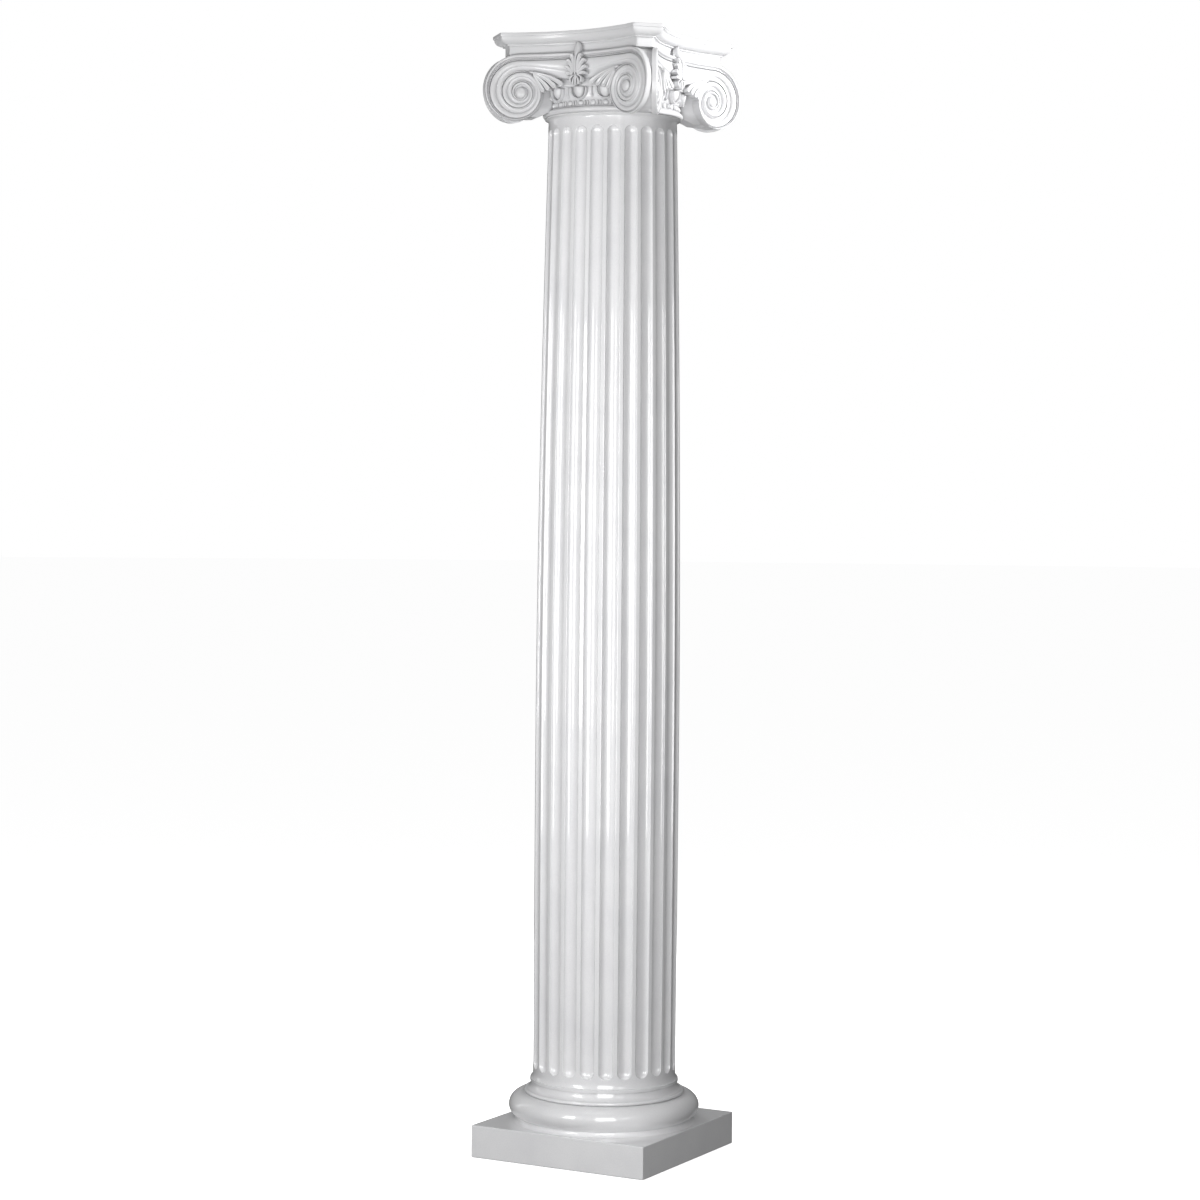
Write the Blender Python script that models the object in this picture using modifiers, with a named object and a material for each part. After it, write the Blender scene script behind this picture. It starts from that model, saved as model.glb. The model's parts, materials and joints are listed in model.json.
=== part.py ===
"""Ionic column: moulded base, fluted shaft and four-faced capital with angle volutes.

The column is a hollow casting in three pieces, stacked on the Z axis, which stands on its plinth.
The origin is the centre of the plinth's underside. Metres, +Z up. The faces look along X and Y.
"""
import math

import bmesh
import bpy
import numpy as np

# Whole column
COLUMN_HEIGHT = 2.4384       # an eight foot column
SEAT_GAP = 0.0003            # between two castings that rest on each other
QUARTERS = 4                 # the plinth and the capital repeat every quarter turn

# Base
PLINTH_WIDTH = 0.425
PLINTH_HEIGHT = 0.0706
PLINTH_ARRIS = 0.0012        # the softened edge of the plinth
BASE_TOP = 0.1574            # where the shaft stands
BASE_SEAT_RADIUS = 0.1605
TORUS_RADIUS = 0.2097        # the widest turned moulding
TORUS_REACH = 0.031          # half the torus across
TORUS_RISE = 0.028           # half the torus up
TORUS_HEIGHT = 0.1045        # the torus's middle above the floor
RING_RADIUS = 0.1762         # the thin ring on the torus
RING_RISE = 0.0042
COVE_FOOT_RADIUS = 0.2035    # where the cove under the torus runs out on the plinth
COVE_RISE = 0.0102
BASE_BORE_RADIUS = 0.130
CUT_MARGIN = 0.02            # the cutter runs this far past what it cuts

# Shaft
FOOT_FILLET_RADIUS = 0.1632
FOOT_FILLET_HEIGHT = 0.0078
FOOT_CURVE_HEIGHT = 0.0125   # from the foot fillet up to the plain shaft
FOOT_QUIRK = 0.0005          # the small flat on the foot fillet
FOOT_RADIUS = 0.157
BELLY_RADIUS = 0.1585        # the shaft swells a little, then tapers
BELLY_HEIGHT = 0.95
NECK_RADIUS = 0.1403
SWELL_POWER = 1.7
FLUTE_COUNT = 24
FLUTE_SHARE = 0.76           # of the pitch, the rest is the fillet between two flutes
FLUTE_DEPTH = 0.0105
FLUTE_LOW_TIP = 0.186
NECK_FLARE_RADIUS = 0.1476
NECK_FLARE_HEIGHT = 0.0095
NECK_LIP_HEIGHT = 0.0030
CAPITAL_RISE = 0.1714        # from the top of the shaft to the top of the abacus
SHAFT_TOP = COLUMN_HEIGHT - CAPITAL_RISE
FLUTE_HEAD_DROP = 0.0274     # from the top of the shaft to a flute's upper tip
FLUTE_HIGH_TIP = SHAFT_TOP - FLUTE_HEAD_DROP
WALL = 0.026                 # of the hollow shaft, at its fillets

# Capital: turned bell
CAPITAL_BORE_RADIUS = 0.114
ASTRAGAL_RADIUS = 0.1530
ASTRAGAL_RISE = 0.0058       # half the roll's height
BEAD_ROW_RADIUS = 0.1478
BEAD_ROW_RISE = 0.0270       # from the top of the shaft to the top of the bead row
BEAD_ROW_TOP = SHAFT_TOP + BEAD_ROW_RISE
BEAD_ROW_ROUND = 0.002       # how far the row draws in at its edges
BEAD_ROW_SHOULDER = 0.006    # from its top to its widest line
BELL_RADIUS = 0.1410
EGG_COUNT = 16
EGG_REACH = 0.0165           # how far an egg stands out of its middle
EGG_HALF_WIDTH = 0.0190
EGG_SUNK = 0.0015            # an egg's middle lies this far inside the bell
JOIN_LAP = 0.001             # how far two joined parts of the capital run into each other
TOP_REBATE = 0.002           # the bell ends this far under the top of the abacus
EGG_FOOT_GAP = 0.0002        # between the bead row and the eggs
EGG_LOW = BEAD_ROW_TOP + EGG_FOOT_GAP
EGG_RISE = 0.0258
EGG_HIGH = EGG_LOW + EGG_RISE

# Capital: abacus, concave on four sides and cut off at the corners
SIDE_CURVE = 0.348           # plan radius of every concave side
SLAB_OUT = 0.170             # from the axis to the middle of a side
SLAB_CORNER = 0.263          # from the axis to the cut corner
SLAB_FACE = 0.0070
OVOLO_RISE = 0.0160
OVOLO_INSET = 0.0190
FASCIA_INSET = 0.0245
FASCIA_STEP = 0.0030
BAND_DROP = 0.0444           # from the top of the abacus to the top line of the volutes
BAND_TOP = COLUMN_HEIGHT - BAND_DROP
FASCIA_LAP = 0.0015          # the fascia runs this far down behind the band

# Capital: volutes and the canal between them, on a face bent to an arc in plan
FACE_CURVE = 0.380           # plan radius of every face
FACE_OUT = 0.157             # from the axis to the middle of a face
EYE_ACROSS = 0.1305          # along the face
EYE_DROP = 0.0820            # from the band's top line to the eye
EYE_HEIGHT = BAND_TOP - EYE_DROP
EYE_RADIUS = 0.0125
EYE_DOME = 0.0040
SPIRAL_TURNS = 3
SPIRAL_POWER = 1.6
SPIRAL_LEAN = 0.12           # the spiral is wider towards the corner
SPIRAL_LIFT = 0.08           # and shorter below the eye
CANAL_DEPTH = 0.0610         # of the band at the middle of a face
CANAL_SAG_HEIGHT = BAND_TOP - CANAL_DEPTH
GROOVE_DEPTH = 0.0048
GROOVE_SHARE = 0.42          # of the band's width
FIELD_SET = 0.008            # the plain field lies behind the band
HORN_SET = 0.0075            # the core of a corner lies behind its volutes
HORN_EDGE = 0.0065           # and inside their outline, which leaves the edge channel
HORN_LEAST_OUT = 0.008       # the core reaches at least this far past the eye
HORN_LEAST_IN = 0.012        # and this far before it
HORN_ROOT = 0.142
HORN_ROOT_HALF = 0.024
HORN_UNDERCUT_DROP = 0.0340  # from the eye down to where the corner draws away from the shaft
HORN_UNDERCUT = EYE_HEIGHT - HORN_UNDERCUT_DROP
HORN_UNDERCUT_SLOPE = 2.2
VOLUTE_BACK = 0.0098
BAND_BACK = 0.016

# Capital: applied leaves
PALMETTE_LENGTH = 0.0960
PALMETTE_TIP_DROP = 0.0234   # from the top of the abacus, under its ovolo
PALMETTE_TIP = COLUMN_HEIGHT - PALMETTE_TIP_DROP
PALMETTE_ROOT = PALMETTE_TIP - PALMETTE_LENGTH
PALMETTE_HALF_WIDTH = 0.0300
PALMETTE_LOBES = 9
PALMETTE_STEM = 0.30         # the lobes start this share of the way up
PALMETTE_SPREAD = 290        # degrees from the first lobe to the last
PALMETTE_PROUD = 0.0125
SPRAY_ACROSS = 0.100         # root of a spray, along the face
SPRAY_RISE = 0.0440          # root of a spray over the eye
SPRAY_HEIGHT = EYE_HEIGHT + SPRAY_RISE
SPRAY_LENGTH = 0.052
SPRAY_LOBES = 3
SPRAY_AIM = 123              # degrees from upright, to the middle of the face
SPRAY_SPREAD = 62
SPRAY_PROUD = 0.0030

# Facets
BASE_STEPS = 36
BELL_STEPS = 32
BORE_STEPS = 40
EGG_STEPS = 8
TURN_STEPS = 10              # along one turn of a volute


def clear_scene():
    """Remove whatever the scene holds."""
    for old in list(bpy.data.objects):
        bpy.data.objects.remove(old, do_unlink=True)


def make_collection(name, hidden=False):
    collection = bpy.data.collections.new(name)
    bpy.context.scene.collection.children.link(collection)
    collection.hide_render = hidden
    return collection


def make_material(name, colour, roughness):
    material = bpy.data.materials.new(name)
    material.use_nodes = True
    shader = material.node_tree.nodes["Principled BSDF"]
    shader.inputs["Base Color"].default_value = (*colour, 1.0)
    shader.inputs["Roughness"].default_value = roughness
    shader.inputs["Metallic"].default_value = 0.0
    return material


def make_object(name, mesh, collection, material=None):
    thing = bpy.data.objects.new(name, mesh)
    collection.objects.link(thing)
    if material:
        mesh.materials.append(material)
    return thing


def make_helper(name, mesh, collection, quarter=0):
    """An object that is only cut from or joined to a piece, turned by quarters about Z."""
    helper = make_object(name, mesh, collection)
    helper.rotation_euler.z = quarter * math.tau / QUARTERS
    helper.hide_render = True
    helper.display_type = "WIRE"
    return helper


def mesh_from_bmesh(name, bm):
    bmesh.ops.recalc_face_normals(bm, faces=bm.faces)
    mesh = bpy.data.meshes.new(name)
    bm.to_mesh(mesh)
    bm.free()
    return mesh


def turned_mesh(name, profile, steps):
    """Spin a profile that runs down its outer side from the axis back to the axis."""
    bm = bmesh.new()
    line = [bm.verts.new((radius, 0.0, height)) for radius, height in profile]
    for above, below in zip(line, line[1:]):
        bm.edges.new((above, below))
    mesh = bpy.data.meshes.new(name)
    bm.to_mesh(mesh)
    bm.free()
    turned = bpy.data.objects.new(name, mesh)
    screw = turned.modifiers.new("Turn", "SCREW")
    screw.steps = screw.render_steps = steps
    screw.use_merge_vertices = True
    screw.merge_threshold = 0.00001
    return turned


def cylinder_mesh(name, radius, low, high):
    bm = bmesh.new()
    bmesh.ops.create_cone(bm, cap_ends=True, segments=BORE_STEPS, radius1=radius, radius2=radius,
                          depth=high - low)
    bmesh.ops.translate(bm, verts=bm.verts, vec=(0, 0, (low + high) / 2))
    return mesh_from_bmesh(name, bm)


def arc(centre, reach, rise, start, end, count):
    """Points on an ellipse in the profile plane, at angles in degrees from the outward direction."""
    angles = np.radians(np.linspace(start, end, count))
    return [(centre[0] + reach * math.cos(a), centre[1] + rise * math.sin(a)) for a in angles]


def loft_mesh(name, sections, closed=False):
    """Skin sections of equal point counts; a closed loft joins its last section to its first."""
    bm = bmesh.new()
    rings = [[bm.verts.new(point) for point in section] for section in sections]
    pairs = list(zip(rings, rings[1:] + rings[:1])) if closed else list(zip(rings, rings[1:]))
    for lower, upper in pairs:
        for k in range(len(lower)):
            nxt = (k + 1) % len(lower)
            bm.faces.new((lower[k], lower[nxt], upper[nxt], upper[k]))
    if not closed:
        bm.faces.new(rings[0][::-1])
        bm.faces.new(rings[-1])
    return mesh_from_bmesh(name, bm)


def add_boolean(thing, operation, other, name):
    cut = thing.modifiers.new(name, "BOOLEAN")
    cut.operation = operation
    cut.solver = "EXACT"
    if isinstance(other, bpy.types.Collection):
        cut.operand_type = "COLLECTION"
        cut.collection = other
    else:
        cut.object = other


def shade(mesh, angle):
    mesh.shade_smooth()
    mesh.set_sharp_from_angle(angle=math.radians(angle))


# Base

def base_profile():
    """Turned mouldings from the seat down: cove, thin ring, torus, and the cove on the plinth."""
    ring_middle = TORUS_HEIGHT + TORUS_RISE + RING_RISE
    ring_top = ring_middle + RING_RISE
    torus_middle = TORUS_RADIUS - TORUS_REACH
    ring_core = RING_RADIUS - RING_RISE
    cove_top = PLINTH_HEIGHT + COVE_RISE
    # where the torus meets the cove under it
    low_angle = math.degrees(math.asin((cove_top - TORUS_HEIGHT) / TORUS_RISE))
    torus = arc((torus_middle, TORUS_HEIGHT), TORUS_REACH, TORUS_RISE, 84, low_angle, 7)
    cove_reach = COVE_FOOT_RADIUS - torus[-1][0]
    points = [(0.0, BASE_TOP), (BASE_SEAT_RADIUS, BASE_TOP)]
    points += arc((ring_core, BASE_TOP), BASE_SEAT_RADIUS - ring_core, ring_top - BASE_TOP, 40, 90, 2)
    points += arc((ring_core, ring_middle), RING_RISE, RING_RISE, 70, -70, 3)
    points += torus
    points += arc((COVE_FOOT_RADIUS, cove_top), cove_reach, COVE_RISE, 225, 270, 2)
    sunk = PLINTH_HEIGHT / 2
    points += [(COVE_FOOT_RADIUS, sunk), (0.0, sunk)]
    return points


def make_base(parts, cutters, material):
    bm = bmesh.new()
    bmesh.ops.create_cube(bm, size=1.0)
    bmesh.ops.scale(bm, vec=(PLINTH_WIDTH, PLINTH_WIDTH, PLINTH_HEIGHT), verts=bm.verts)
    bmesh.ops.translate(bm, vec=(0, 0, PLINTH_HEIGHT / 2), verts=bm.verts)
    base = make_object("base", mesh_from_bmesh("base", bm), parts, material)
    edge = base.modifiers.new("Arris", "BEVEL")
    edge.width = PLINTH_ARRIS
    edge.segments = 1
    mouldings = turned_mesh("base mouldings", base_profile(), BASE_STEPS)
    cutters.objects.link(mouldings)
    mouldings.hide_render = True
    mouldings.display_type = "WIRE"
    bore = make_helper("base bore", cylinder_mesh("base bore", BASE_BORE_RADIUS, -CUT_MARGIN,
                                                  BASE_TOP + CUT_MARGIN), cutters)
    add_boolean(base, "UNION", mouldings, "Mouldings")
    add_boolean(base, "DIFFERENCE", bore, "Bore")
    return base


# Shaft

def plain_radius(z):
    """Radius over the fillets: swollen at the belly, less by a power of the way to either end."""
    if z > BELLY_HEIGHT:
        way = (z - BELLY_HEIGHT) / (SHAFT_TOP - NECK_FLARE_HEIGHT - BELLY_HEIGHT)
        return BELLY_RADIUS - (BELLY_RADIUS - NECK_RADIUS) * min(way, 1.0) ** SWELL_POWER
    way = (BELLY_HEIGHT - z) / (BELLY_HEIGHT - BASE_TOP)
    return BELLY_RADIUS - (BELLY_RADIUS - FOOT_RADIUS) * min(way, 1.0) ** SWELL_POWER


def flute_half_width(radius):
    return radius * FLUTE_SHARE * math.pi / FLUTE_COUNT


def shaft_ring(z, radius, opening=1.0, depth=0.0):
    """A section of the shaft with four points to each flute: two edges and two on its floor.

    opening is the flute's width as a share of its full width, depth is how far its floor lies in.
    """
    pitch = math.tau / FLUTE_COUNT
    half = FLUTE_SHARE * pitch / 2
    ring = []
    for flute in range(FLUTE_COUNT):
        for share, is_floor in ((-1, 0), (-0.5, 1), (0.5, 1), (1, 0)):
            angle = flute * pitch + share * half * opening
            reach = radius - depth * is_floor
            ring.append((reach * math.cos(angle), reach * math.sin(angle), z))
    return ring


def shaft_sections():
    """Outer sections from the foot to the neck, then the bore's from the top back down."""
    low = BASE_TOP + SEAT_GAP
    fillet_top = low + FOOT_FILLET_HEIGHT
    curve_top = fillet_top + FOOT_CURVE_HEIGHT
    flare_low = SHAFT_TOP - NECK_FLARE_HEIGHT
    lip_low = SHAFT_TOP - NECK_LIP_HEIGHT
    foot_radius = plain_radius(curve_top)
    step_radius = (FOOT_FILLET_RADIUS + foot_radius) / 2
    sections = [shaft_ring(low, FOOT_FILLET_RADIUS), shaft_ring(fillet_top, FOOT_FILLET_RADIUS)]
    for share in (0.0, 0.4, 1.0):
        reach = (step_radius - foot_radius) * (1 - share) ** 2
        sections.append(shaft_ring(fillet_top + FOOT_QUIRK + FOOT_CURVE_HEIGHT * share, foot_radius + reach))
    # round ends: the opening follows a circle as wide as the flute
    ends = [math.sin(math.radians(a)) for a in (10, 48, 90)]
    low_radius = flute_half_width(plain_radius(FLUTE_LOW_TIP))
    for share in ends:
        z = FLUTE_LOW_TIP + low_radius * (1 - math.sqrt(1 - share ** 2))
        sections.append(shaft_ring(z, plain_radius(z), share, FLUTE_DEPTH * share))
    high_radius = flute_half_width(plain_radius(FLUTE_HIGH_TIP))
    body_low = FLUTE_LOW_TIP + low_radius
    body_high = FLUTE_HIGH_TIP - high_radius
    for share in (0.36, 0.62, 0.82):
        z = body_low + (body_high - body_low) * share
        sections.append(shaft_ring(z, plain_radius(z), 1.0, FLUTE_DEPTH))
    for share in reversed(ends):
        z = FLUTE_HIGH_TIP - high_radius * (1 - math.sqrt(1 - share ** 2))
        sections.append(shaft_ring(z, plain_radius(z), share, FLUTE_DEPTH * share))
    neck = plain_radius(flare_low)
    for share in (0.0, 0.65, 1.0):
        z = flare_low + (lip_low - flare_low) * share
        sections.append(shaft_ring(z, neck + (NECK_FLARE_RADIUS - neck) * share ** 2))
    sections.append(shaft_ring(SHAFT_TOP, NECK_FLARE_RADIUS))
    for z in (SHAFT_TOP, low):
        sections.append(shaft_ring(z, plain_radius(z) - WALL))
    return sections


def make_shaft(parts, material):
    return make_object("shaft", loft_mesh("shaft", shaft_sections(), closed=True), parts, material)


# Capital

def bell_profile():
    """Turned bell round the bore, from its top, inside the abacus, to the roll over the shaft."""
    low = SHAFT_TOP + SEAT_GAP
    top = COLUMN_HEIGHT - TOP_REBATE
    roll_middle = low + ASTRAGAL_RISE
    roll_core = ASTRAGAL_RADIUS - ASTRAGAL_RISE
    points = [(CAPITAL_BORE_RADIUS, top), (BELL_RADIUS, top), (BELL_RADIUS, BEAD_ROW_TOP + BEAD_ROW_ROUND)]
    points += [(BEAD_ROW_RADIUS - BEAD_ROW_ROUND, BEAD_ROW_TOP),
               (BEAD_ROW_RADIUS, BEAD_ROW_TOP - BEAD_ROW_SHOULDER)]
    points += [(BEAD_ROW_RADIUS - BEAD_ROW_ROUND, low + 2 * ASTRAGAL_RISE + JOIN_LAP)]
    points += arc((roll_core, roll_middle), ASTRAGAL_RISE, ASTRAGAL_RISE, 80, -80, 4)
    points += [(CAPITAL_BORE_RADIUS, low), (CAPITAL_BORE_RADIUS, top)]
    return points


def side_outline(out, corner, height, steps=6):
    """Plan outline: on each side a concave arc whose middle is out from the axis.

    The corners are cut square to the diagonal at the distance corner.
    """
    # where the arc crosses the cut corner: x + out + R - sqrt(R^2 - x^2) = corner * sqrt 2
    total = corner * math.sqrt(2) - out - SIDE_CURVE
    end = (total + math.sqrt(2 * SIDE_CURVE ** 2 - total ** 2)) / 2
    spans = np.linspace(-end, end, steps)
    points = []
    for quarter in range(QUARTERS):
        turn = quarter * math.tau / QUARTERS
        for x in spans:
            y = -(out + SIDE_CURVE - math.sqrt(SIDE_CURVE ** 2 - x ** 2))
            points.append((x * math.cos(turn) - y * math.sin(turn),
                           x * math.sin(turn) + y * math.cos(turn), height))
    return points


def abacus_mesh():
    """Slab, ovolo, step and plain fascia: one outline drawn in towards the axis as it goes down."""
    slab_low = COLUMN_HEIGHT - SLAB_FACE
    rings = [(0.0, COLUMN_HEIGHT), (0.0, slab_low)]
    for angle in (42, 90):
        a = math.radians(angle)
        rings.append((OVOLO_INSET * (1 - math.cos(a)), slab_low - OVOLO_RISE * math.sin(a)))
    step_low = slab_low - OVOLO_RISE - FASCIA_STEP
    rings.append((OVOLO_INSET, step_low))
    rings.append((FASCIA_INSET, step_low))
    rings.append((FASCIA_INSET, BAND_TOP - FASCIA_LAP))
    sections = [side_outline(SLAB_OUT - inset, SLAB_CORNER - inset, z) for inset, z in rings]
    return loft_mesh("abacus", with_bore(sections[::-1]), closed=True)


def with_bore(sections):
    """Add the inner wall of a ring that is joined to the bell, within the bell's own wall."""
    radius = (CAPITAL_BORE_RADIUS + BELL_RADIUS) / 2
    inner = []
    for section in (sections[-1], sections[0]):
        inner.append([(x * radius / math.hypot(x, y), y * radius / math.hypot(x, y), z)
                      for x, y, z in section])
    return sections + inner


def field_mesh():
    """The plain body between the bell and the abacus, behind the canal."""
    out = FACE_OUT - FIELD_SET
    corner = SLAB_CORNER - FASCIA_INSET - HORN_EDGE
    sections = [side_outline(out, corner, z) for z in (EGG_HIGH + 2 * JOIN_LAP, BAND_TOP + JOIN_LAP)]
    return loft_mesh("field", with_bore(sections), closed=True)


def place_on_face(across, proud, height):
    """Bend a point of the developed face onto the front face, whose plan is an arc."""
    angle = across / FACE_CURVE
    reach = FACE_CURVE - proud
    return (reach * math.sin(angle), reach * math.cos(angle) - FACE_OUT - FACE_CURVE, height)


def spiral_radius(angle):
    """Radius about the eye after turning by angle from the top, outwards and down."""
    left = max(1.0 - angle / (SPIRAL_TURNS * math.tau), 0.0)
    lean = 1.0 + SPIRAL_LEAN * math.sqrt(left) * math.sin(angle)
    lift = 1.0 - SPIRAL_LIFT * (1.0 - math.cos(angle)) / 2
    first = BAND_TOP - EYE_HEIGHT
    return (EYE_RADIUS + (first - EYE_RADIUS) * left ** SPIRAL_POWER) * lean * lift


def spiral_point(angle):
    radius = spiral_radius(angle)
    return EYE_ACROSS + radius * math.sin(angle), EYE_HEIGHT + radius * math.cos(angle)


def band_lines():
    """The band's outer and inner edge: first the canal from the middle, then the spiral.

    The inner edge of one turn is the outer edge of the next, down to the eye.
    """
    canal_low, canal_steps = spiral_point(math.tau)[1], 4
    outer, inner = [], []
    for k in range(canal_steps):
        across = EYE_ACROSS * k / canal_steps
        rise = math.sin(math.pi / 2 * k / canal_steps) ** 2
        outer.append((across, BAND_TOP))
        inner.append((across, CANAL_SAG_HEIGHT + (canal_low - CANAL_SAG_HEIGHT) * rise))
    for k in range(TURN_STEPS * SPIRAL_TURNS + 1):
        angle = math.tau * k / TURN_STEPS
        last = math.tau * SPIRAL_TURNS
        outer.append(spiral_point(angle))
        if angle + math.tau <= last + 1e-9:
            inner.append(spiral_point(angle + math.tau))
        else:
            inner.append((EYE_ACROSS + EYE_RADIUS * math.sin(angle),
                          EYE_HEIGHT + EYE_RADIUS * math.cos(angle)))
    return np.array(outer), np.array(inner)


def thicken_and_bend(name, bm, back):
    """Close a relief sheet, drawn flat as (across, proud, height), and bend it onto the face."""
    bmesh.ops.remove_doubles(bm, verts=bm.verts, dist=1e-6)
    front = list(bm.faces)
    made = bmesh.ops.extrude_face_region(bm, geom=front, use_keep_orig=True)
    for item in made["geom"]:
        if isinstance(item, bmesh.types.BMVert):
            item.co.y = -back(abs(item.co.x))
    for vert in bm.verts:
        vert.co = place_on_face(*vert.co)
    return mesh_from_bmesh(name, bm)


def band_back(across):
    """The band is thick in the middle and thin at the corners, where two volutes come near."""
    share = min(max((EYE_ACROSS + EYE_RADIUS - across) / (3 * EYE_RADIUS), 0.0), 1.0)
    return VOLUTE_BACK + (BAND_BACK - VOLUTE_BACK) * share


def band_mesh():
    """Canal and both volutes of one face as one grooved relief."""
    outer, inner = band_lines()
    widths = np.linalg.norm(outer - inner, axis=1)
    depths = np.minimum(GROOVE_DEPTH, 0.36 * widths)
    groove = outer + (inner - outer) * GROOVE_SHARE
    bm = bmesh.new()
    for side in (1, -1):
        rows = []
        for (ox, oz), (gx, gz), (ix, iz), depth in zip(outer, groove, inner, depths):
            rows.append([bm.verts.new((side * ox, 0.0, oz)), bm.verts.new((side * gx, -depth, gz)),
                         bm.verts.new((side * ix, 0.0, iz))])
        for here, there in zip(rows, rows[1:]):
            for k in range(2):
                bm.faces.new((here[k], there[k], there[k + 1], here[k + 1])[::side])
        eye = bm.verts.new((side * EYE_ACROSS, EYE_DOME, EYE_HEIGHT))
        last_turn = [row[2] for row in rows[-TURN_STEPS - 1:]]
        for one, two in zip(last_turn, last_turn[1:]):
            bm.faces.new((one, two, eye)[::side])
    return thicken_and_bend("band", bm, band_back)


def horn_mesh():
    """The core of a corner, between the two volutes that meet there, as level sections."""
    angles = np.linspace(0.0, math.tau, 121)
    outline = np.array([spiral_point(a) for a in angles])
    low, high = outline[:, 1].min() + HORN_EDGE, BAND_TOP + JOIN_LAP
    turning = int(outline[:, 1].argmin())
    outside, inside = outline[:turning + 1][::-1], outline[turning:]
    sections = []
    for share in (0.0, 0.1, 0.28, 0.55, 0.85, 1.0):
        z = low + (high - low) * share
        reach = np.interp(z, outside[:, 1], outside[:, 0]) - HORN_EDGE
        start = np.interp(z, inside[:, 1], inside[:, 0]) + HORN_EDGE
        middle = (EYE_ACROSS + 2 * start) / 3
        reach = max(reach, EYE_ACROSS + HORN_LEAST_OUT)
        start = min(start, EYE_ACROSS - HORN_LEAST_IN)
        spans = (start, middle, (reach + middle) / 2, reach)
        face = [place_on_face(across, -HORN_SET, z) for across in spans]
        # the other volute of the corner is the first one, mirrored over the diagonal
        mirrored = [(-y, -x, height) for x, y, height in face]
        tip = face[-1]
        inset = (tip[0] - tip[1]) / 2 - HORN_EDGE / 2
        channel = (inset, -inset, z)
        root = HORN_ROOT + max(HORN_UNDERCUT - z, 0.0) * HORN_UNDERCUT_SLOPE
        half = HORN_ROOT_HALF
        diagonal = math.sqrt(0.5)
        roots = [((root + side * half) * diagonal, (side * half - root) * diagonal, z) for side in (1, -1)]
        sections.append(face + [channel] + mirrored[::-1] + roots)
    return loft_mesh("horn", sections)


def leaf_fan(name, root, axis_angle, spread, lobes, length, proud, back):
    """A fan of round lobes about a root, as one relief sheet.

    Along each ray the sheet rises from the root to the lobe's swell and falls at its tip. Between
    two lobes the ray is shorter and lower.
    """
    # along a ray: share of its length, height on a lobe, height between two lobes
    rows = ((0.16, 0.75, 0.70), (0.62, 1.0, 0.35), (1.0, 0.45, 0.15))
    bm = bmesh.new()
    rays = 2 * lobes + 1
    columns = []
    for k in range(rays):
        is_lobe = k % 2
        angle = axis_angle + spread * (k / (rays - 1) - 0.5)
        reach = length(angle - axis_angle) * (1.0 if is_lobe else 0.80)
        column = []
        for share, lobe_swell, gap_swell in rows:
            swell = lobe_swell if is_lobe else gap_swell
            column.append(bm.verts.new((root[0] + reach * share * math.sin(angle), proud * swell,
                                        root[1] + reach * share * math.cos(angle))))
        columns.append(column)
    for here, there in zip(columns, columns[1:]):
        for k in range(len(rows) - 1):
            bm.faces.new((here[k], there[k], there[k + 1], here[k + 1]))
    ends = [column[0] for column in columns]
    bm.faces.new(ends[::-1])
    return thicken_and_bend(name, bm, lambda across: back)


def palmette_mesh():
    """Lobes about a stem: the longest in the middle, round to the sides."""
    height = PALMETTE_TIP - PALMETTE_ROOT
    stem = height * PALMETTE_STEM

    def length(angle):
        up = (height - stem) * max(math.cos(angle), 0.0) ** 1.5
        side = PALMETTE_HALF_WIDTH * (1.0 - 0.55 * max(math.cos(angle), 0.0))
        return up + side * (0.2 + 0.8 * abs(math.sin(angle / 1.6)))
    return leaf_fan("palmette", (0.0, PALMETTE_ROOT + stem), 0.0, math.radians(PALMETTE_SPREAD),
                    PALMETTE_LOBES, length, PALMETTE_PROUD, BAND_BACK)


def spray_mesh(side):
    """A few lobes in the angle between a volute and the eggs, pointing to the middle."""
    aim = math.radians(-side * SPRAY_AIM)
    return leaf_fan("spray", (side * SPRAY_ACROSS, SPRAY_HEIGHT), aim, math.radians(SPRAY_SPREAD),
                    SPRAY_LOBES, lambda angle: SPRAY_LENGTH, SPRAY_PROUD, BAND_BACK)


def egg_mesh(number):
    """An egg half sunk in the bell."""
    bm = bmesh.new()
    bmesh.ops.create_uvsphere(bm, u_segments=EGG_STEPS, v_segments=EGG_STEPS - 3, radius=1.0)
    bmesh.ops.scale(bm, vec=(EGG_REACH, EGG_HALF_WIDTH, (EGG_HIGH - EGG_LOW) / 2), verts=bm.verts)
    bmesh.ops.translate(bm, vec=(BELL_RADIUS - EGG_SUNK, 0, (EGG_HIGH + EGG_LOW) / 2), verts=bm.verts)
    turn = number * math.tau / EGG_COUNT
    for vert in bm.verts:
        x, y = vert.co.x, vert.co.y
        vert.co.x = x * math.cos(turn) - y * math.sin(turn)
        vert.co.y = x * math.sin(turn) + y * math.cos(turn)
    return mesh_from_bmesh("egg", bm)


def make_capital(parts, carving, material):
    bell = turned_mesh("capital", bell_profile(), BELL_STEPS)
    parts.objects.link(bell)
    bell.data.materials.append(material)
    # half a facet's turn keeps the bell's edges off the middles of the faces
    bell.rotation_euler.z = math.pi / BELL_STEPS
    make_helper("abacus", abacus_mesh(), carving)
    make_helper("field", field_mesh(), carving)
    horn, band, palmette = horn_mesh(), band_mesh(), palmette_mesh()
    sprays = [spray_mesh(1), spray_mesh(-1)]
    for quarter in range(QUARTERS):
        make_helper("horn", horn, carving, quarter)
        make_helper("band", band, carving, quarter)
        make_helper("palmette", palmette, carving, quarter)
        for spray in sprays:
            make_helper("spray", spray, carving, quarter)
    # the eggs behind the corners are hidden and left out
    for number in range(EGG_COUNT):
        if number % (EGG_COUNT // QUARTERS) != EGG_COUNT // QUARTERS // 2:
            make_helper("egg", egg_mesh(number), carving)
    add_boolean(bell, "UNION", carving, "Carving")
    return bell


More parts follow.
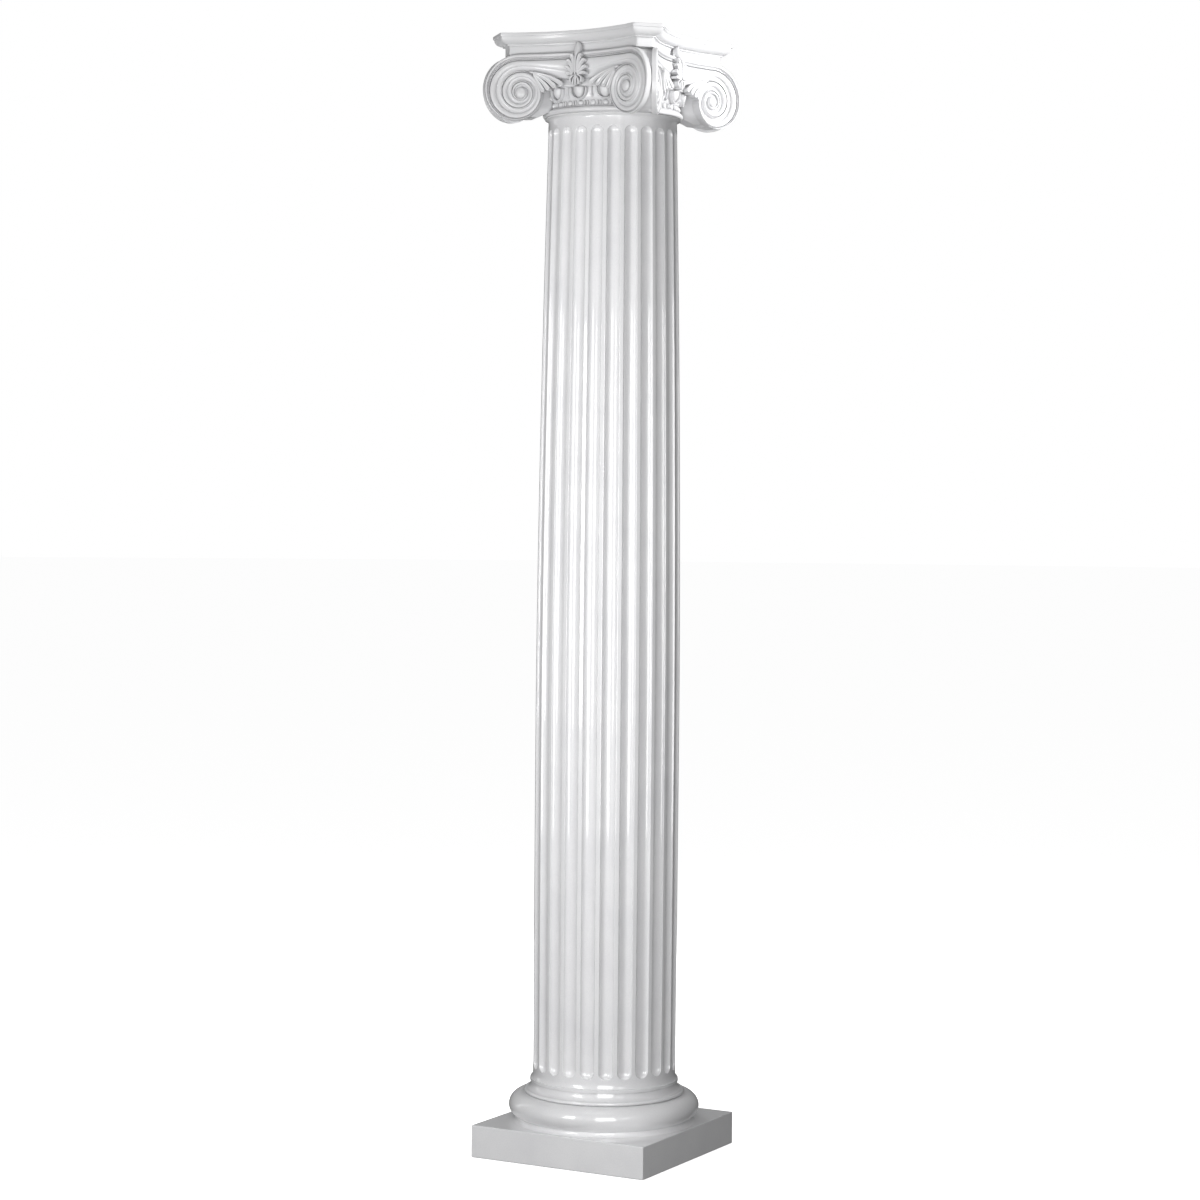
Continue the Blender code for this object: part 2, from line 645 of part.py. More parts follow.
def main():
    clear_scene()
    parts = make_collection("ionic column")
    cutters = make_collection("cutters", hidden=True)
    carving = make_collection("capital carving", hidden=True)
    base = make_base(parts, cutters, make_material("white cast base", (0.80, 0.80, 0.81), 0.35))
    shaft = make_shaft(parts, make_material("white cast shaft", (0.86, 0.86, 0.87), 0.30))
    capital = make_capital(parts, carving, make_material("white cast capital", (0.88, 0.88, 0.88), 0.38))
    for piece in (base, shaft, capital):
        shade(piece.data, 35)


main()
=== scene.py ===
"""Looks of a white cast Ionic column: its base, fluted shaft and carved capital as worked-out surfaces.

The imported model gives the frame. Metres, +Z up, the axis of the column is Z.
"""
import json
import math

import bmesh
import bpy
import numpy as np
from bpy.props import FloatProperty, FloatVectorProperty, IntProperty, PointerProperty
from mathutils import Matrix

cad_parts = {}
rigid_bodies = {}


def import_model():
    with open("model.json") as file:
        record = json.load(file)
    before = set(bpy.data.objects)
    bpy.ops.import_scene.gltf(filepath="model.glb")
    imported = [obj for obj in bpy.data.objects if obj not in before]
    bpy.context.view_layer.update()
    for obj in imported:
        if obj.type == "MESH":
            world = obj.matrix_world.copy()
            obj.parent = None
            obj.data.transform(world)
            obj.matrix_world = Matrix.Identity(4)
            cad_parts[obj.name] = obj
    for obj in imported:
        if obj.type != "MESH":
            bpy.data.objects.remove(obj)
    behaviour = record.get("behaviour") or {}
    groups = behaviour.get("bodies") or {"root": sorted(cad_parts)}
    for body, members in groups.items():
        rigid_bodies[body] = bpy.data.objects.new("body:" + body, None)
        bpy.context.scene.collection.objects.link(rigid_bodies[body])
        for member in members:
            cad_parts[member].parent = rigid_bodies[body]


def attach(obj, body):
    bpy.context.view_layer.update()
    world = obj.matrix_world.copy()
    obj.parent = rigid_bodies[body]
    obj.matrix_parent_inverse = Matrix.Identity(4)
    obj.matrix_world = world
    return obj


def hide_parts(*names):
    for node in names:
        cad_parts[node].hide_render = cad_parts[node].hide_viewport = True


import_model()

bl_info = {
    "name": "Ionic column",
    "version": (1, 0, 0),
    "blender": (4, 5, 0),
    "location": "View3D > Sidebar > Column",
    "description": "Builds a white cast Ionic column and the stage it stands on",
    "category": "Add Mesh",
}

QUARTERS = np.arange(4) * math.tau / 4
SEAT_GAP = 0.0003            # between two castings that rest on each other


def linear(hex_colour):
    """An sRGB hex colour as linear red, green and blue."""
    value = np.array([int(hex_colour[k:k + 2], 16) for k in (1, 3, 5)]) / 255
    return tuple(np.where(value <= 0.04045, value / 12.92, ((value + 0.055) / 1.055) ** 2.4))


def length(name, description, default):
    return FloatProperty(name=name, description=description, default=default, unit="LENGTH", precision=4)


def paint(name, description, hex_colour):
    return FloatVectorProperty(name=name, description=description, default=linear(hex_colour), size=3,
                               subtype="COLOR")


# Sizes and colours

class ColumnBaseSizes(bpy.types.PropertyGroup):
    plinth_width: length("Plinth width", "Side of the square plinth", 0.425)
    plinth_height: length("Plinth height", "From the floor to the top of the plinth", 0.0706)
    plinth_arris: length("Plinth arris", "Radius of the plinth's softened edges", 0.0014)
    top: length("Seat height", "Where the shaft stands", 0.1574)
    seat_radius: length("Seat radius", "Radius of the top of the base", 0.1605)
    torus_radius: length("Torus radius", "Radius over the widest moulding", 0.2097)
    torus_reach: length("Torus reach", "Half the torus across", 0.031)
    torus_rise: length("Torus rise", "Half the torus up", 0.028)
    torus_height: length("Torus height", "Middle of the torus above the floor", 0.1045)
    ring_radius: length("Ring radius", "Radius over the thin ring", 0.1762)
    ring_rise: length("Ring rise", "Half the height of the thin ring", 0.0042)
    cove_foot_radius: length("Cove foot radius", "Where the cove runs out on the plinth", 0.2035)
    cove_rise: length("Cove rise", "Height of the cove under the torus", 0.0102)
    bore_radius: length("Bore radius", "Radius of the hole through the base", 0.130)


class ColumnShaftSizes(bpy.types.PropertyGroup):
    foot_fillet_radius: length("Foot fillet radius", "Radius of the flat ring at the foot", 0.1632)
    foot_fillet_height: length("Foot fillet height", "Height of the flat ring at the foot", 0.0078)
    foot_curve_height: length("Foot curve height", "From the fillet up to the plain shaft", 0.0125)
    foot_radius: length("Foot radius", "Radius at the foot", 0.157)
    belly_radius: length("Belly radius", "Largest radius over the fillets", 0.1585)
    belly_height: length("Belly height", "Height of the largest radius", 0.95)
    neck_radius: length("Neck radius", "Radius under the flare", 0.1403)
    swell_power: FloatProperty(name="Swell power", description="Power of the taper", default=1.7)
    flute_count: IntProperty(name="Flutes", description="Number of flutes", default=24)
    flute_share: FloatProperty(name="Flute share", description="Flute's part of the pitch", default=0.76)
    flute_depth: length("Flute depth", "Depth of a flute", 0.0105)
    flute_low_tip: length("Flute foot", "Height of a flute's lower tip", 0.186)
    flute_high_tip: length("Flute head", "Height of a flute's upper tip", 2.2396)
    flare_radius: length("Neck flare radius", "Radius of the lip over the flutes", 0.1476)
    flare_height: length("Neck flare height", "Height of the flare with its lip", 0.0095)
    lip_height: length("Lip height", "Height of the lip alone", 0.0030)
    top: length("Shaft top", "Height of the top of the shaft", 2.2670)
    wall: length("Wall", "Thickness of the hollow shaft at its fillets", 0.026)


class ColumnCapitalSizes(bpy.types.PropertyGroup):
    height: length("Column height", "From the floor to the top of the abacus", 2.4384)
    bore_radius: length("Bore radius", "Radius of the hole through the capital", 0.114)
    bell_radius: length("Bell radius", "Radius of the plain bell", 0.1410)
    roll_radius: length("Roll radius", "Radius over the roll above the shaft", 0.1530)
    roll_rise: length("Roll rise", "Half the roll's height", 0.0058)
    bead_radius: length("Bead row radius", "Radius over the row of beads", 0.1478)
    bead_row_top: length("Bead row top", "Height of the top of the row of beads", 2.2940)
    bead_count: IntProperty(name="Beads", description="Number of beads", default=32)
    egg_count: IntProperty(name="Eggs", description="Number of eggs", default=16)
    egg_top: length("Egg top", "Height of the flat top of the eggs", 2.3205)
    egg_half_width: length("Egg half width", "Half an egg across", 0.0130)
    side_curve: length("Abacus curve", "Plan radius of the abacus' concave sides", 0.348)
    slab_out: length("Abacus reach", "From the axis to the middle of a side", 0.170)
    slab_corner: length("Abacus corner", "From the axis to the cut corner", 0.263)
    slab_face: length("Abacus face", "Height of the abacus' upright face", 0.0070)
    ovolo_rise: length("Ovolo rise", "Height of the curve under the face", 0.0160)
    ovolo_inset: length("Ovolo inset", "How far the curve draws in", 0.0190)
    fascia_inset: length("Fascia inset", "How far the plain fascia lies in", 0.0245)
    fascia_step: length("Fascia step", "Height of the step over the fascia", 0.0030)
    band_top: length("Band top", "Top line of the canal and volutes", 2.3940)
    face_curve: length("Face curve", "Plan radius of the carved faces", 0.380)
    face_out: length("Face reach", "From the axis to the middle of a face", 0.157)
    eye_across: length("Eye across", "Volute's eye, along the face from its middle", 0.1305)
    eye_height: length("Eye height", "Volute's eye above the floor", 2.3120)
    eye_radius: length("Eye radius", "Radius of the volute's eye", 0.0107)
    canal_sag_height: length("Canal sag", "Lower edge of the canal at the middle", 2.3330)


class ColumnFinish(bpy.types.PropertyGroup):
    gelcoat: paint("Gelcoat", "Colour of the gelcoat", "#ECECED")
    # painted shade: the carving's colour is set greyer than the gelcoat above so that the capital comes out
    # darker, as shade would make it
    carved: paint("Gelcoat, carved", "Colour of the gelcoat on the carving", "#DEDEDF")
    recess: paint("Gelcoat, thin", "Colour where the gelcoat is thin", "#E2E2E4")
    # painted shade: the next two set the grey that is mixed into narrow recesses and how close their walls
    # must be
    painted_recess_shade: paint("Wax", "Colour of mould wax and dust left in recesses", "#7C7C7E")
    painted_shade_distance: length("Recess width", "Width of a recess that keeps wax", 0.007)
    floor: paint("Floor", "Colour of the studio floor", "#F4F4F4")
    ripple: length("Ripple", "Width of a ripple in the gelcoat", 0.007)
    ripple_height: length("Ripple height", "Height of a ripple in the gelcoat", 0.0003)
    grain: length("Grain", "Width of a grain of the filler under the gelcoat", 0.0016)
    cloud: length("Cloud", "Width of a cloudy patch in the gelcoat", 1 / 9)


def sizes():
    scene = bpy.context.scene
    return scene.ionic_column_base, scene.ionic_column_shaft, scene.ionic_column_capital


def capital_sizes():
    return bpy.context.scene.ionic_column_capital


# Surfaces as arrays of points and of quads

def skin(points, round_u=False, round_v=False):
    """Quads over a grid of points; round_u or round_v joins its last row or column to the first."""
    index = np.arange(points.shape[0] * points.shape[1]).reshape(points.shape[:2])
    if round_u:
        index = np.concatenate([index, index[:1]], axis=0)
    if round_v:
        index = np.concatenate([index, index[:, :1]], axis=1)
    quads = np.stack([index[:-1, :-1], index[1:, :-1], index[1:, 1:], index[:-1, 1:]], axis=-1)
    return points.reshape(-1, 3), quads.reshape(-1, 4)


def gather(surfaces):
    """Several surfaces as one: each one's quads count on from the points before it."""
    starts = np.cumsum([0] + [len(points) for points, _ in surfaces[:-1]])
    return (np.concatenate([points for points, _ in surfaces]),
            np.concatenate([quads + start for (_, quads), start in zip(surfaces, starts)]))


def turned(surface, angles):
    """Copies of a surface turned about Z by each angle."""
    points, quads = surface
    cos, sin = np.cos(angles)[:, None], np.sin(angles)[:, None]
    x, y = points[:, 0], points[:, 1]
    copies = np.stack([x * cos - y * sin, x * sin + y * cos,
                       np.broadcast_to(points[:, 2], (len(angles), len(points)))], axis=-1)
    shift = np.arange(len(angles))[:, None, None] * len(points)
    return copies.reshape(-1, 3), (quads + shift).reshape(-1, 4)


def mirrored(surface):
    """A surface mirrored over the plane x = 0, with its quads turned back to face outwards."""
    points, quads = surface
    return points * (-1, 1, 1), quads[:, ::-1]


def capped(rings):
    """A tube of rings whose two ends run in to their middle points."""
    ends = rings.mean(axis=1, keepdims=True).repeat(rings.shape[1], axis=1)
    return skin(np.concatenate([ends[:1], rings, ends[-1:]]), False, True)


def about_axis(radius, angle, height):
    """Points at a radius and an angle about Z, with the height spread over them."""
    x, y = radius * np.cos(angle), radius * np.sin(angle)
    return np.stack([x, y, np.broadcast_to(height, x.shape)], axis=-1)


def spin(profile, steps):
    """A closed profile of (radius, height) carried round Z."""
    angles = np.linspace(0, math.tau, steps, endpoint=False)[:, None]
    radius, height = np.array(profile).T
    return skin(about_axis(radius, angles, height), True, True)


def rib(path, side, out, half_width, rise, steps):
    """A closed tube along a path: an oval, half_width along side and rise along out, at each point.

    The oval is (half_width cos a, rise sin a). Where both are nought at the ends of the path, the
    tube closes in a point.
    """
    a = np.linspace(0, math.tau, steps, endpoint=False)
    points = path[:, None] + side[:, None] * (half_width[:, None] * np.cos(a))[..., None] \
        + out[:, None] * (rise[:, None] * np.sin(a))[..., None]
    return skin(points, False, True)


def arc(centre, reach, rise, start, end, count):
    """Points on an ellipse in the profile plane, at angles in degrees from the outward direction."""
    a = np.radians(np.linspace(start, end, count))
    return list(zip(centre[0] + reach * np.cos(a), centre[1] + rise * np.sin(a)))


def make_piece(name, surfaces, material, node, sharp=42):
    """One object from surfaces: doubles merged, normals outwards, smooth up to the sharp angle."""
    points, quads = gather(surfaces)
    mesh = bpy.data.meshes.new(name)
    mesh.from_pydata(points, [], quads)
    bm = bmesh.new()
    bm.from_mesh(mesh)
    bmesh.ops.remove_doubles(bm, verts=bm.verts, dist=2e-6)
    bmesh.ops.recalc_face_normals(bm, faces=bm.faces)
    bm.to_mesh(mesh)
    bm.free()
    mesh.shade_smooth()
    mesh.set_sharp_from_angle(angle=math.radians(sharp))
    mesh.materials.append(material)
    piece = bpy.data.objects.new(name, mesh)
    bpy.context.scene.collection.objects.link(piece)
    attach(piece, "root")
    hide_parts(node)
    return piece


# Materials

def add_node(tree, kind, links=(), **settings):
    """Add a node; a setting is one of its properties or else a socket's value, links feed sockets."""
    node = tree.nodes.new(kind)
    for key, value in settings.items():
        if hasattr(node, key):
            setattr(node, key, value)
        else:
            node.inputs[key.replace("_", " ")].default_value = value
    for socket, source in dict(links).items():
        tree.links.new(source, node.inputs[socket])
    return node


def gelcoat_on_resin(name, white, roughness, coat, coat_roughness, painted_shade_share):
    """White gelcoat, rolled into the mould and backed with resin and marble dust.

    It gives a bright satin to glossy white. The skin shrinks a little over the filler, so highlights
    waver, and the grains of the filler show as a faint speckle. In narrow recesses the colour is
    painted greyer, up to the given share, as painted shade that stands in for the shade there.
    """
    finish = bpy.context.scene.ionic_column_finish
    material = bpy.data.materials.get(name)
    if material:
        return material
    material = bpy.data.materials.new(name)
    material.use_nodes = True
    tree = material.node_tree
    shader = tree.nodes["Principled BSDF"]
    place = add_node(tree, "ShaderNodeTexCoord")
    # a noise of scale s has features about 1 / s across
    ripple = add_node(tree, "ShaderNodeTexNoise", {"Vector": place.outputs["Object"]},
                      Scale=1 / finish.ripple, Detail=1.0, Roughness=0.4)
    grain = add_node(tree, "ShaderNodeTexNoise", {"Vector": place.outputs["Object"]},
                     Scale=1 / finish.grain, Detail=2.0, Roughness=0.6)
    cloud = add_node(tree, "ShaderNodeTexNoise", {"Vector": place.outputs["Object"]},
                     Scale=1 / finish.cloud, Detail=3.0, Roughness=0.55)
    speckle = add_node(tree, "ShaderNodeMath", {0: grain.outputs["Fac"], 1: cloud.outputs["Fac"]},
                       operation="MULTIPLY")
    tint = add_node(tree, "ShaderNodeMapRange", {"Value": speckle.outputs[0]},
                    From_Min=0.12, From_Max=0.34)
    colour = add_node(tree, "ShaderNodeMix", {"Factor": tint.outputs[0]}, data_type="RGBA")
    colour.inputs[6].default_value = (*finish.recess, 1)
    colour.inputs[7].default_value = (*white, 1)
    # painted shade: ambient occlusion over this reach mixes the colour towards the grey in narrow recesses,
    # standing in for the shade that falls there
    open_sky = add_node(tree, "ShaderNodeAmbientOcclusion", Distance=finish.painted_shade_distance, samples=8)
    painted_shade_amount = add_node(tree, "ShaderNodeMapRange", {"Value": open_sky.outputs["AO"]},
                    From_Min=0.25, From_Max=0.9, To_Min=painted_shade_share, To_Max=0.0)
    with_painted_shade = add_node(tree, "ShaderNodeMix", {"Factor": painted_shade_amount.outputs[0], 6: colour.outputs[2]},
                     data_type="RGBA")
    with_painted_shade.inputs[7].default_value = (*finish.painted_recess_shade, 1)
    gloss = add_node(tree, "ShaderNodeMapRange", {"Value": cloud.outputs["Fac"]},
                     From_Min=0.3, From_Max=0.7, To_Min=roughness + 0.05, To_Max=roughness - 0.03)
    fine = add_node(tree, "ShaderNodeBump", {"Height": grain.outputs["Fac"]},
                    Strength=0.10, Distance=0.0003)
    bump = add_node(tree, "ShaderNodeBump", {"Height": ripple.outputs["Fac"], "Normal": fine.outputs[0]},
                    Strength=0.15, Distance=finish.ripple_height)
    tree.links.new(with_painted_shade.outputs[2], shader.inputs["Base Color"])
    tree.links.new(gloss.outputs[0], shader.inputs["Roughness"])
    tree.links.new(bump.outputs[0], shader.inputs["Normal"])
    shader.inputs["Metallic"].default_value = 0.0
    shader.inputs["IOR"].default_value = 1.5
    shader.inputs["Coat Weight"].default_value = coat
    shader.inputs["Coat Roughness"].default_value = coat_roughness
    return material


def turned_finish():
    """The base and the shaft, polished round in their moulds."""
    white = bpy.context.scene.ionic_column_finish.gelcoat
    # the last argument is how strongly narrow recesses are painted grey, as painted shade
    return gelcoat_on_resin("white gelcoat, polished mould", white, roughness=0.34, coat=1.0,
                            coat_roughness=0.06, painted_shade_share=0.25)


def carved_finish():
    """The capital, from a rubber mould of a carving: a little less glossy."""
    # painted shade: the greyer carved colour stands in for the shade that darkens the capital
    white = bpy.context.scene.ionic_column_finish.carved
    # the last argument is how strongly narrow recesses are painted grey, as painted shade
    return gelcoat_on_resin("white gelcoat, carved mould", white, roughness=0.38, coat=0.45,
                            coat_roughness=0.14, painted_shade_share=0.5)


# Base

def plan_square(angles, half, corner):
    """Distance from the axis to a rounded square at each angle.

    On a side it is half / cos of the angle off the side's middle. In a corner it is where the ray
    leaves the corner's circle: c cos b + sqrt(corner^2 - c^2 sin^2 b), with b off the diagonal.
    """
    off_side = (angles + math.pi / 4) % (math.pi / 2) - math.pi / 4
    off_corner = angles % (math.pi / 2) - math.pi / 4
    middle = (half - corner) * math.sqrt(2)
    flat = half / np.cos(off_side)
    inside = np.maximum(corner ** 2 - (middle * np.sin(off_corner)) ** 2, 0.0)
    rounded = middle * np.cos(off_corner) + np.sqrt(inside)
    in_corner = np.abs(off_corner) < math.pi / 4 - np.arctan2(half - corner, half)
    return np.where(in_corner, rounded, flat)


UNDERSIDE_RING = 0.19        # radius of the ring half way from the bore to the square underneath
SEAT_RING = 0.145            # radius of a ring on the seat, inside the shaft's foot
SEAT_BREAK = 0.0004          # the seat's edge is broken by this much


def base_surface():
    """The whole base as one closed skin: at each angle a profile from the bore round and back.

    A row is a circle, a rounded square, or between the two on top of the plinth.
    """
    size = sizes()[0]
    half, soft, top = size.plinth_width / 2, size.plinth_arris, size.plinth_height
    # share 0 is the square, 1 is the circle; a row is (share, square's half, circle's radius, height)
    rows = [(1, half, size.bore_radius, 0.0), (0.5, half - soft, UNDERSIDE_RING, 0.0),
            (0, half - soft, 0, 0.0)]
    rounding = np.radians(np.linspace(0, 90, 6))
    rows += [(0, half - soft + soft * math.sin(a), 0, soft - soft * math.cos(a)) for a in rounding[1:]]
    rows += [(0, half, 0, z) for z in (2 * soft, top * 0.3, top * 0.6, top - 2 * soft)]
    rows += [(0, half - soft + soft * math.cos(a), 0, top - soft + soft * math.sin(a)) for a in rounding]
    rows += [(share, half - soft, size.cove_foot_radius, top) for share in (0.15, 0.5, 0.85)]
    torus_middle = size.torus_radius - size.torus_reach
    cove_top = top + size.cove_rise
    low_angle = math.degrees(math.asin((cove_top - size.torus_height) / size.torus_rise))
    torus = arc((torus_middle, size.torus_height), size.torus_reach, size.torus_rise, low_angle, 87, 34)
    cove_reach = size.cove_foot_radius - torus[0][0]
    ring_middle = size.torus_height + size.torus_rise + size.ring_rise
    ring_core = size.ring_radius - size.ring_rise
    profile = arc((size.cove_foot_radius, cove_top), cove_reach, size.cove_rise, 270, 184, 12)
    profile += torus
    profile += arc((ring_core, ring_middle), size.ring_rise, size.ring_rise, -80, 80, 13)
    profile += arc((ring_core, size.top), size.seat_radius - ring_core,
                   ring_middle + size.ring_rise - size.top, 88, 8, 12)
    profile += [(radius, size.top)
                for radius in (size.seat_radius - SEAT_BREAK, SEAT_RING, size.bore_radius)]
    rows += [(1, half, radius, height) for radius, height in profile]
    rows += [(1, half, size.bore_radius, size.top * share) for share in (0.6, 0.3)]
    share, side, radius, height = np.array(rows).T
    even = np.linspace(0, math.pi / 2, 120, endpoint=False)
    corner_half = math.pi / 4 - math.atan2(half - soft, half)
    tight = math.pi / 4 + np.linspace(-1.3, 1.3, 11) * corner_half
    quarter = np.unique(np.concatenate([even[np.abs(even - math.pi / 4) > 2 * corner_half], tight]))
    angles = (QUARTERS[:, None] + quarter).reshape(-1, 1)
    square = plan_square(angles, side, np.maximum(soft + side - half, soft * 0.5))
    reach = square * (1 - share) + radius * share
    return skin(about_axis(reach, angles, height), True, True)


class COLUMN_OT_base(bpy.types.Operator):
    """Build the square plinth with its cove, torus, ring and upper cove as one casting"""
    bl_idname = "ionic_column.base"
    bl_label = "Base"

    def execute(self, context):
        make_piece("cast_base", [base_surface()], turned_finish(), "base")
        return {"FINISHED"}


# Shaft

def plain_radius(height):
    """Radius over the fillets: largest at the belly, less by a power of the way to either end."""
    base, shaft, _ = sizes()
    neck_low = shaft.top - shaft.flare_height
    up = np.clip((height - shaft.belly_height) / (neck_low - shaft.belly_height), 0, 1)
    down = np.clip((shaft.belly_height - height) / (shaft.belly_height - base.top), 0, 1)
    return shaft.belly_radius - (shaft.belly_radius - shaft.neck_radius) * up ** shaft.swell_power \
        - (shaft.belly_radius - shaft.foot_radius) * down ** shaft.swell_power


def flute_columns():
    """One pitch of the shaft as arrays: flute part, arris part, fillet part and depth of a column.

    Across a flute the columns follow half an ellipse: sin b across and cos b deep. An arris is cut
    by two short chamfers, and four columns carry the fillet.
    """
    b = np.radians(np.linspace(-90, 90, 19))
    fillet = np.array([0.0, 0.25, 0.5, 0.75])
    flute_part = np.concatenate([np.sin(b)[1:-1], np.ones(7)])
    depth = np.concatenate([np.cos(b)[1:-1], np.zeros(7)])
    arris_out = np.concatenate([np.zeros(17), [0.0, 0.35, 1.0], [1, 1, 1, 1]])
    arris_deep = np.concatenate([np.zeros(17), [1.0, 0.3, 0.0], [0, 0, 0, 0]])
    fillet_part = np.concatenate([np.zeros(20), fillet + 0.125])
    return flute_part, depth, arris_out, arris_deep, fillet_part


SHAFT_ARRIS = 0.0007         # width of the softened edges of fillets and flutes
STEP_BREAK = 0.0004          # the step over the foot fillet is broken by this much
LIP_BREAK = 0.0006           # the lip stands this far past the flare


def shaft_surface():
    """The fluted shaft as one closed skin of level rings, with the bore's two rings inside.

    At a height where the flute is open by a share o of its width, it is also o deep. At its round
    ends o is the cosine of the angle on a circle as wide as the flute, so the end is a quarter ball.
    """
    base, shaft, _ = sizes()
    low = base.top + SEAT_GAP
    fillet, curve = low + shaft.foot_fillet_height, low + shaft.foot_fillet_height + shaft.foot_curve_height
    foot = float(plain_radius(curve))
    step = (shaft.foot_fillet_radius + foot) / 2
    edge, foot_out = SHAFT_ARRIS, shaft.foot_fillet_radius
    rows = [(low, foot_out - edge, 0), (low + edge, foot_out, 0), (fillet - 1.4 * edge, foot_out, 0),
            (fillet - 0.4 * edge, foot_out - edge, 0), (fillet, step + STEP_BREAK, 0)]
    rows += [(fillet + 0.0005 + shaft.foot_curve_height * s, foot + (step - foot) * (1 - s) ** 2, 0)
             for s in (0, 0.12, 0.3, 0.5, 0.75, 1)]
    half_angle = shaft.flute_share * math.pi / shaft.flute_count
    low_half = half_angle * float(plain_radius(shaft.flute_low_tip))
    high_half = half_angle * float(plain_radius(shaft.flute_high_tip))
    turn = np.radians(np.linspace(90, 0, 12))
    lows = shaft.flute_low_tip + low_half * (1 - np.sin(turn))
    highs = (shaft.flute_high_tip - high_half * (1 - np.sin(turn)))[::-1]
    body = np.linspace(lows[-1], highs[0], 26)[1:-1]
    heights = np.concatenate([lows, body, highs])
    opens = np.concatenate([np.cos(turn), np.ones(len(body)), np.cos(turn)[::-1]])
    opens = np.where(opens < 1e-6, -1, opens)
    rows += list(zip(heights, plain_radius(heights), opens))
    flare_low, lip = shaft.top - shaft.flare_height, shaft.top - shaft.lip_height
    neck = float(plain_radius(flare_low))
    rows += [(flare_low + (lip - flare_low) * s, neck + (shaft.flare_radius - neck) * s ** 2.2, 0)
             for s in (0, 0.2, 0.4, 0.6, 0.75, 0.88, 1)]
    lip_out = shaft.flare_radius + LIP_BREAK
    rows += [(lip + LIP_BREAK / 2, lip_out, 0), (shaft.top - edge, lip_out, 0),
             (shaft.top, shaft.flare_radius, 0)]
    rows += [(z, float(plain_radius(z)) - shaft.wall, 0) for z in (shaft.top, low)]
    height, radius, opening = np.array(rows).T[:, :, None, None]
    # an opening of 0 is a plain row with columns evenly spread, -1 is a row at the very tip
    spread = np.where(opening == 0, 1.0, np.maximum(opening, 0.0))
    deep = np.maximum(opening, 0.0)
    flute_part, depth, arris_out, arris_deep, fillet_part = flute_columns()
    pitch = math.tau / shaft.flute_count
    arris = edge / radius * np.clip(spread * 3, 0, 1)
    edge_angle = half_angle * spread + arris
    angle = np.where(fillet_part > 0, edge_angle + (pitch - 2 * edge_angle) * fillet_part,
                     half_angle * spread * flute_part + arris * arris_out)
    # the left arris mirrors the right one
    left = [17, 18, 19]
    left_angle = -(half_angle * spread + arris * arris_out[left])
    angle = np.concatenate([left_angle[..., ::-1], angle], axis=-1)
    sink = shaft.flute_depth * depth + edge * arris_deep
    sink = np.concatenate([sink[left][::-1], sink])
    reach = radius - sink * deep
    turns = (np.arange(shaft.flute_count) * pitch)[:, None]
    angles = (angle + turns).reshape(len(rows), -1)
    reach = np.broadcast_to(reach, (len(rows), shaft.flute_count, reach.shape[-1])).reshape(len(rows), -1)
    return skin(about_axis(reach, angles, height[:, :, 0]), True, True)


class COLUMN_OT_shaft(bpy.types.Operator):
    """Build the hollow, swelling shaft with its flutes"""
    bl_idname = "ionic_column.shaft"
    bl_label = "Shaft"

    def execute(self, context):
        make_piece("fluted_shaft", [shaft_surface()], turned_finish(), "shaft")
        return {"FINISHED"}


# Capital: bell, beads and eggs

EGG_LOW = 2.2962             # lowest point of the eggs
OVOLO_LOW_RADIUS = 0.1430    # the curve that carries the eggs, at its foot
OVOLO_HIGH_RADIUS = 0.1500   # and under its top
INSIDE_DROP = 0.004          # the bell ends this far under the top of the abacus


def egg_ground(height):
    """Radius of the ovolo behind the eggs: a quarter ellipse from its foot out to its top."""
    size = capital_sizes()
    way = np.clip((height - size.bead_row_top) / (size.egg_top - size.bead_row_top), 0, 1)
    return OVOLO_LOW_RADIUS + (OVOLO_HIGH_RADIUS - OVOLO_LOW_RADIUS) * np.sqrt(1 - (1 - way) ** 2)


def bell_surface():
    """The turned bell: roll, dark line, core of the bead row, ovolo, and up inside the abacus."""
    _, shaft, size = sizes()
    low = shaft.top + SEAT_GAP
    core = size.roll_radius - size.roll_rise
    roll = arc((core, low + size.roll_rise), size.roll_rise, size.roll_rise, -86, 78, 17)
    row_low, row_top = roll[-1][1] + 0.0012, size.bead_row_top
    groove, over_eggs = size.bead_radius - 0.0052, size.egg_top
    profile = [(size.bore_radius, low)] + roll
    profile += [(core - 0.0022, row_low - 0.0006), (core - 0.0022, row_low),
                (core - 0.0012, row_low + 0.0003), (core - 0.0012, row_low + 0.0014),
                (groove, row_low + 0.0018), (groove, row_top - 0.0018),
                (OVOLO_LOW_RADIUS, row_top - 0.0014), (OVOLO_LOW_RADIUS + 0.0006, row_top)]
    heights = np.linspace(row_top + 0.0006, over_eggs, 14)
    profile += list(zip(egg_ground(heights), heights))
    profile += [(OVOLO_HIGH_RADIUS + out, over_eggs + up)
                for out, up in ((0.0032, 0.0003), (0.0040, 0.0016), (0.0034, 0.0030), (0.0, 0.0036))]
    profile += [(size.bell_radius, over_eggs + 0.006), (size.bell_radius, size.height - INSIDE_DROP),
                (size.bore_radius, size.height - INSIDE_DROP)]
    return spin(profile, 256)


def facing(angle):
    """Unit vectors at an angle about Z: across to the left as seen from outside, and outwards."""
    return (np.array([-math.sin(angle), math.cos(angle), 0.0]),
            np.array([math.cos(angle), math.sin(angle), 0.0]))


def round_the_bell(across, radius, height):
    """Place points by arc length across, radius and height, about the direction of +X."""
    return about_axis(radius, across / OVOLO_HIGH_RADIUS, height)


EGG_DEPTH = 0.0115           # an egg stands this far out of the ovolo
EGG_TOP_GAP = 0.0008         # from its flat top to the fillet over it
EGG_POWER = 0.9              # a little fuller than an ellipse


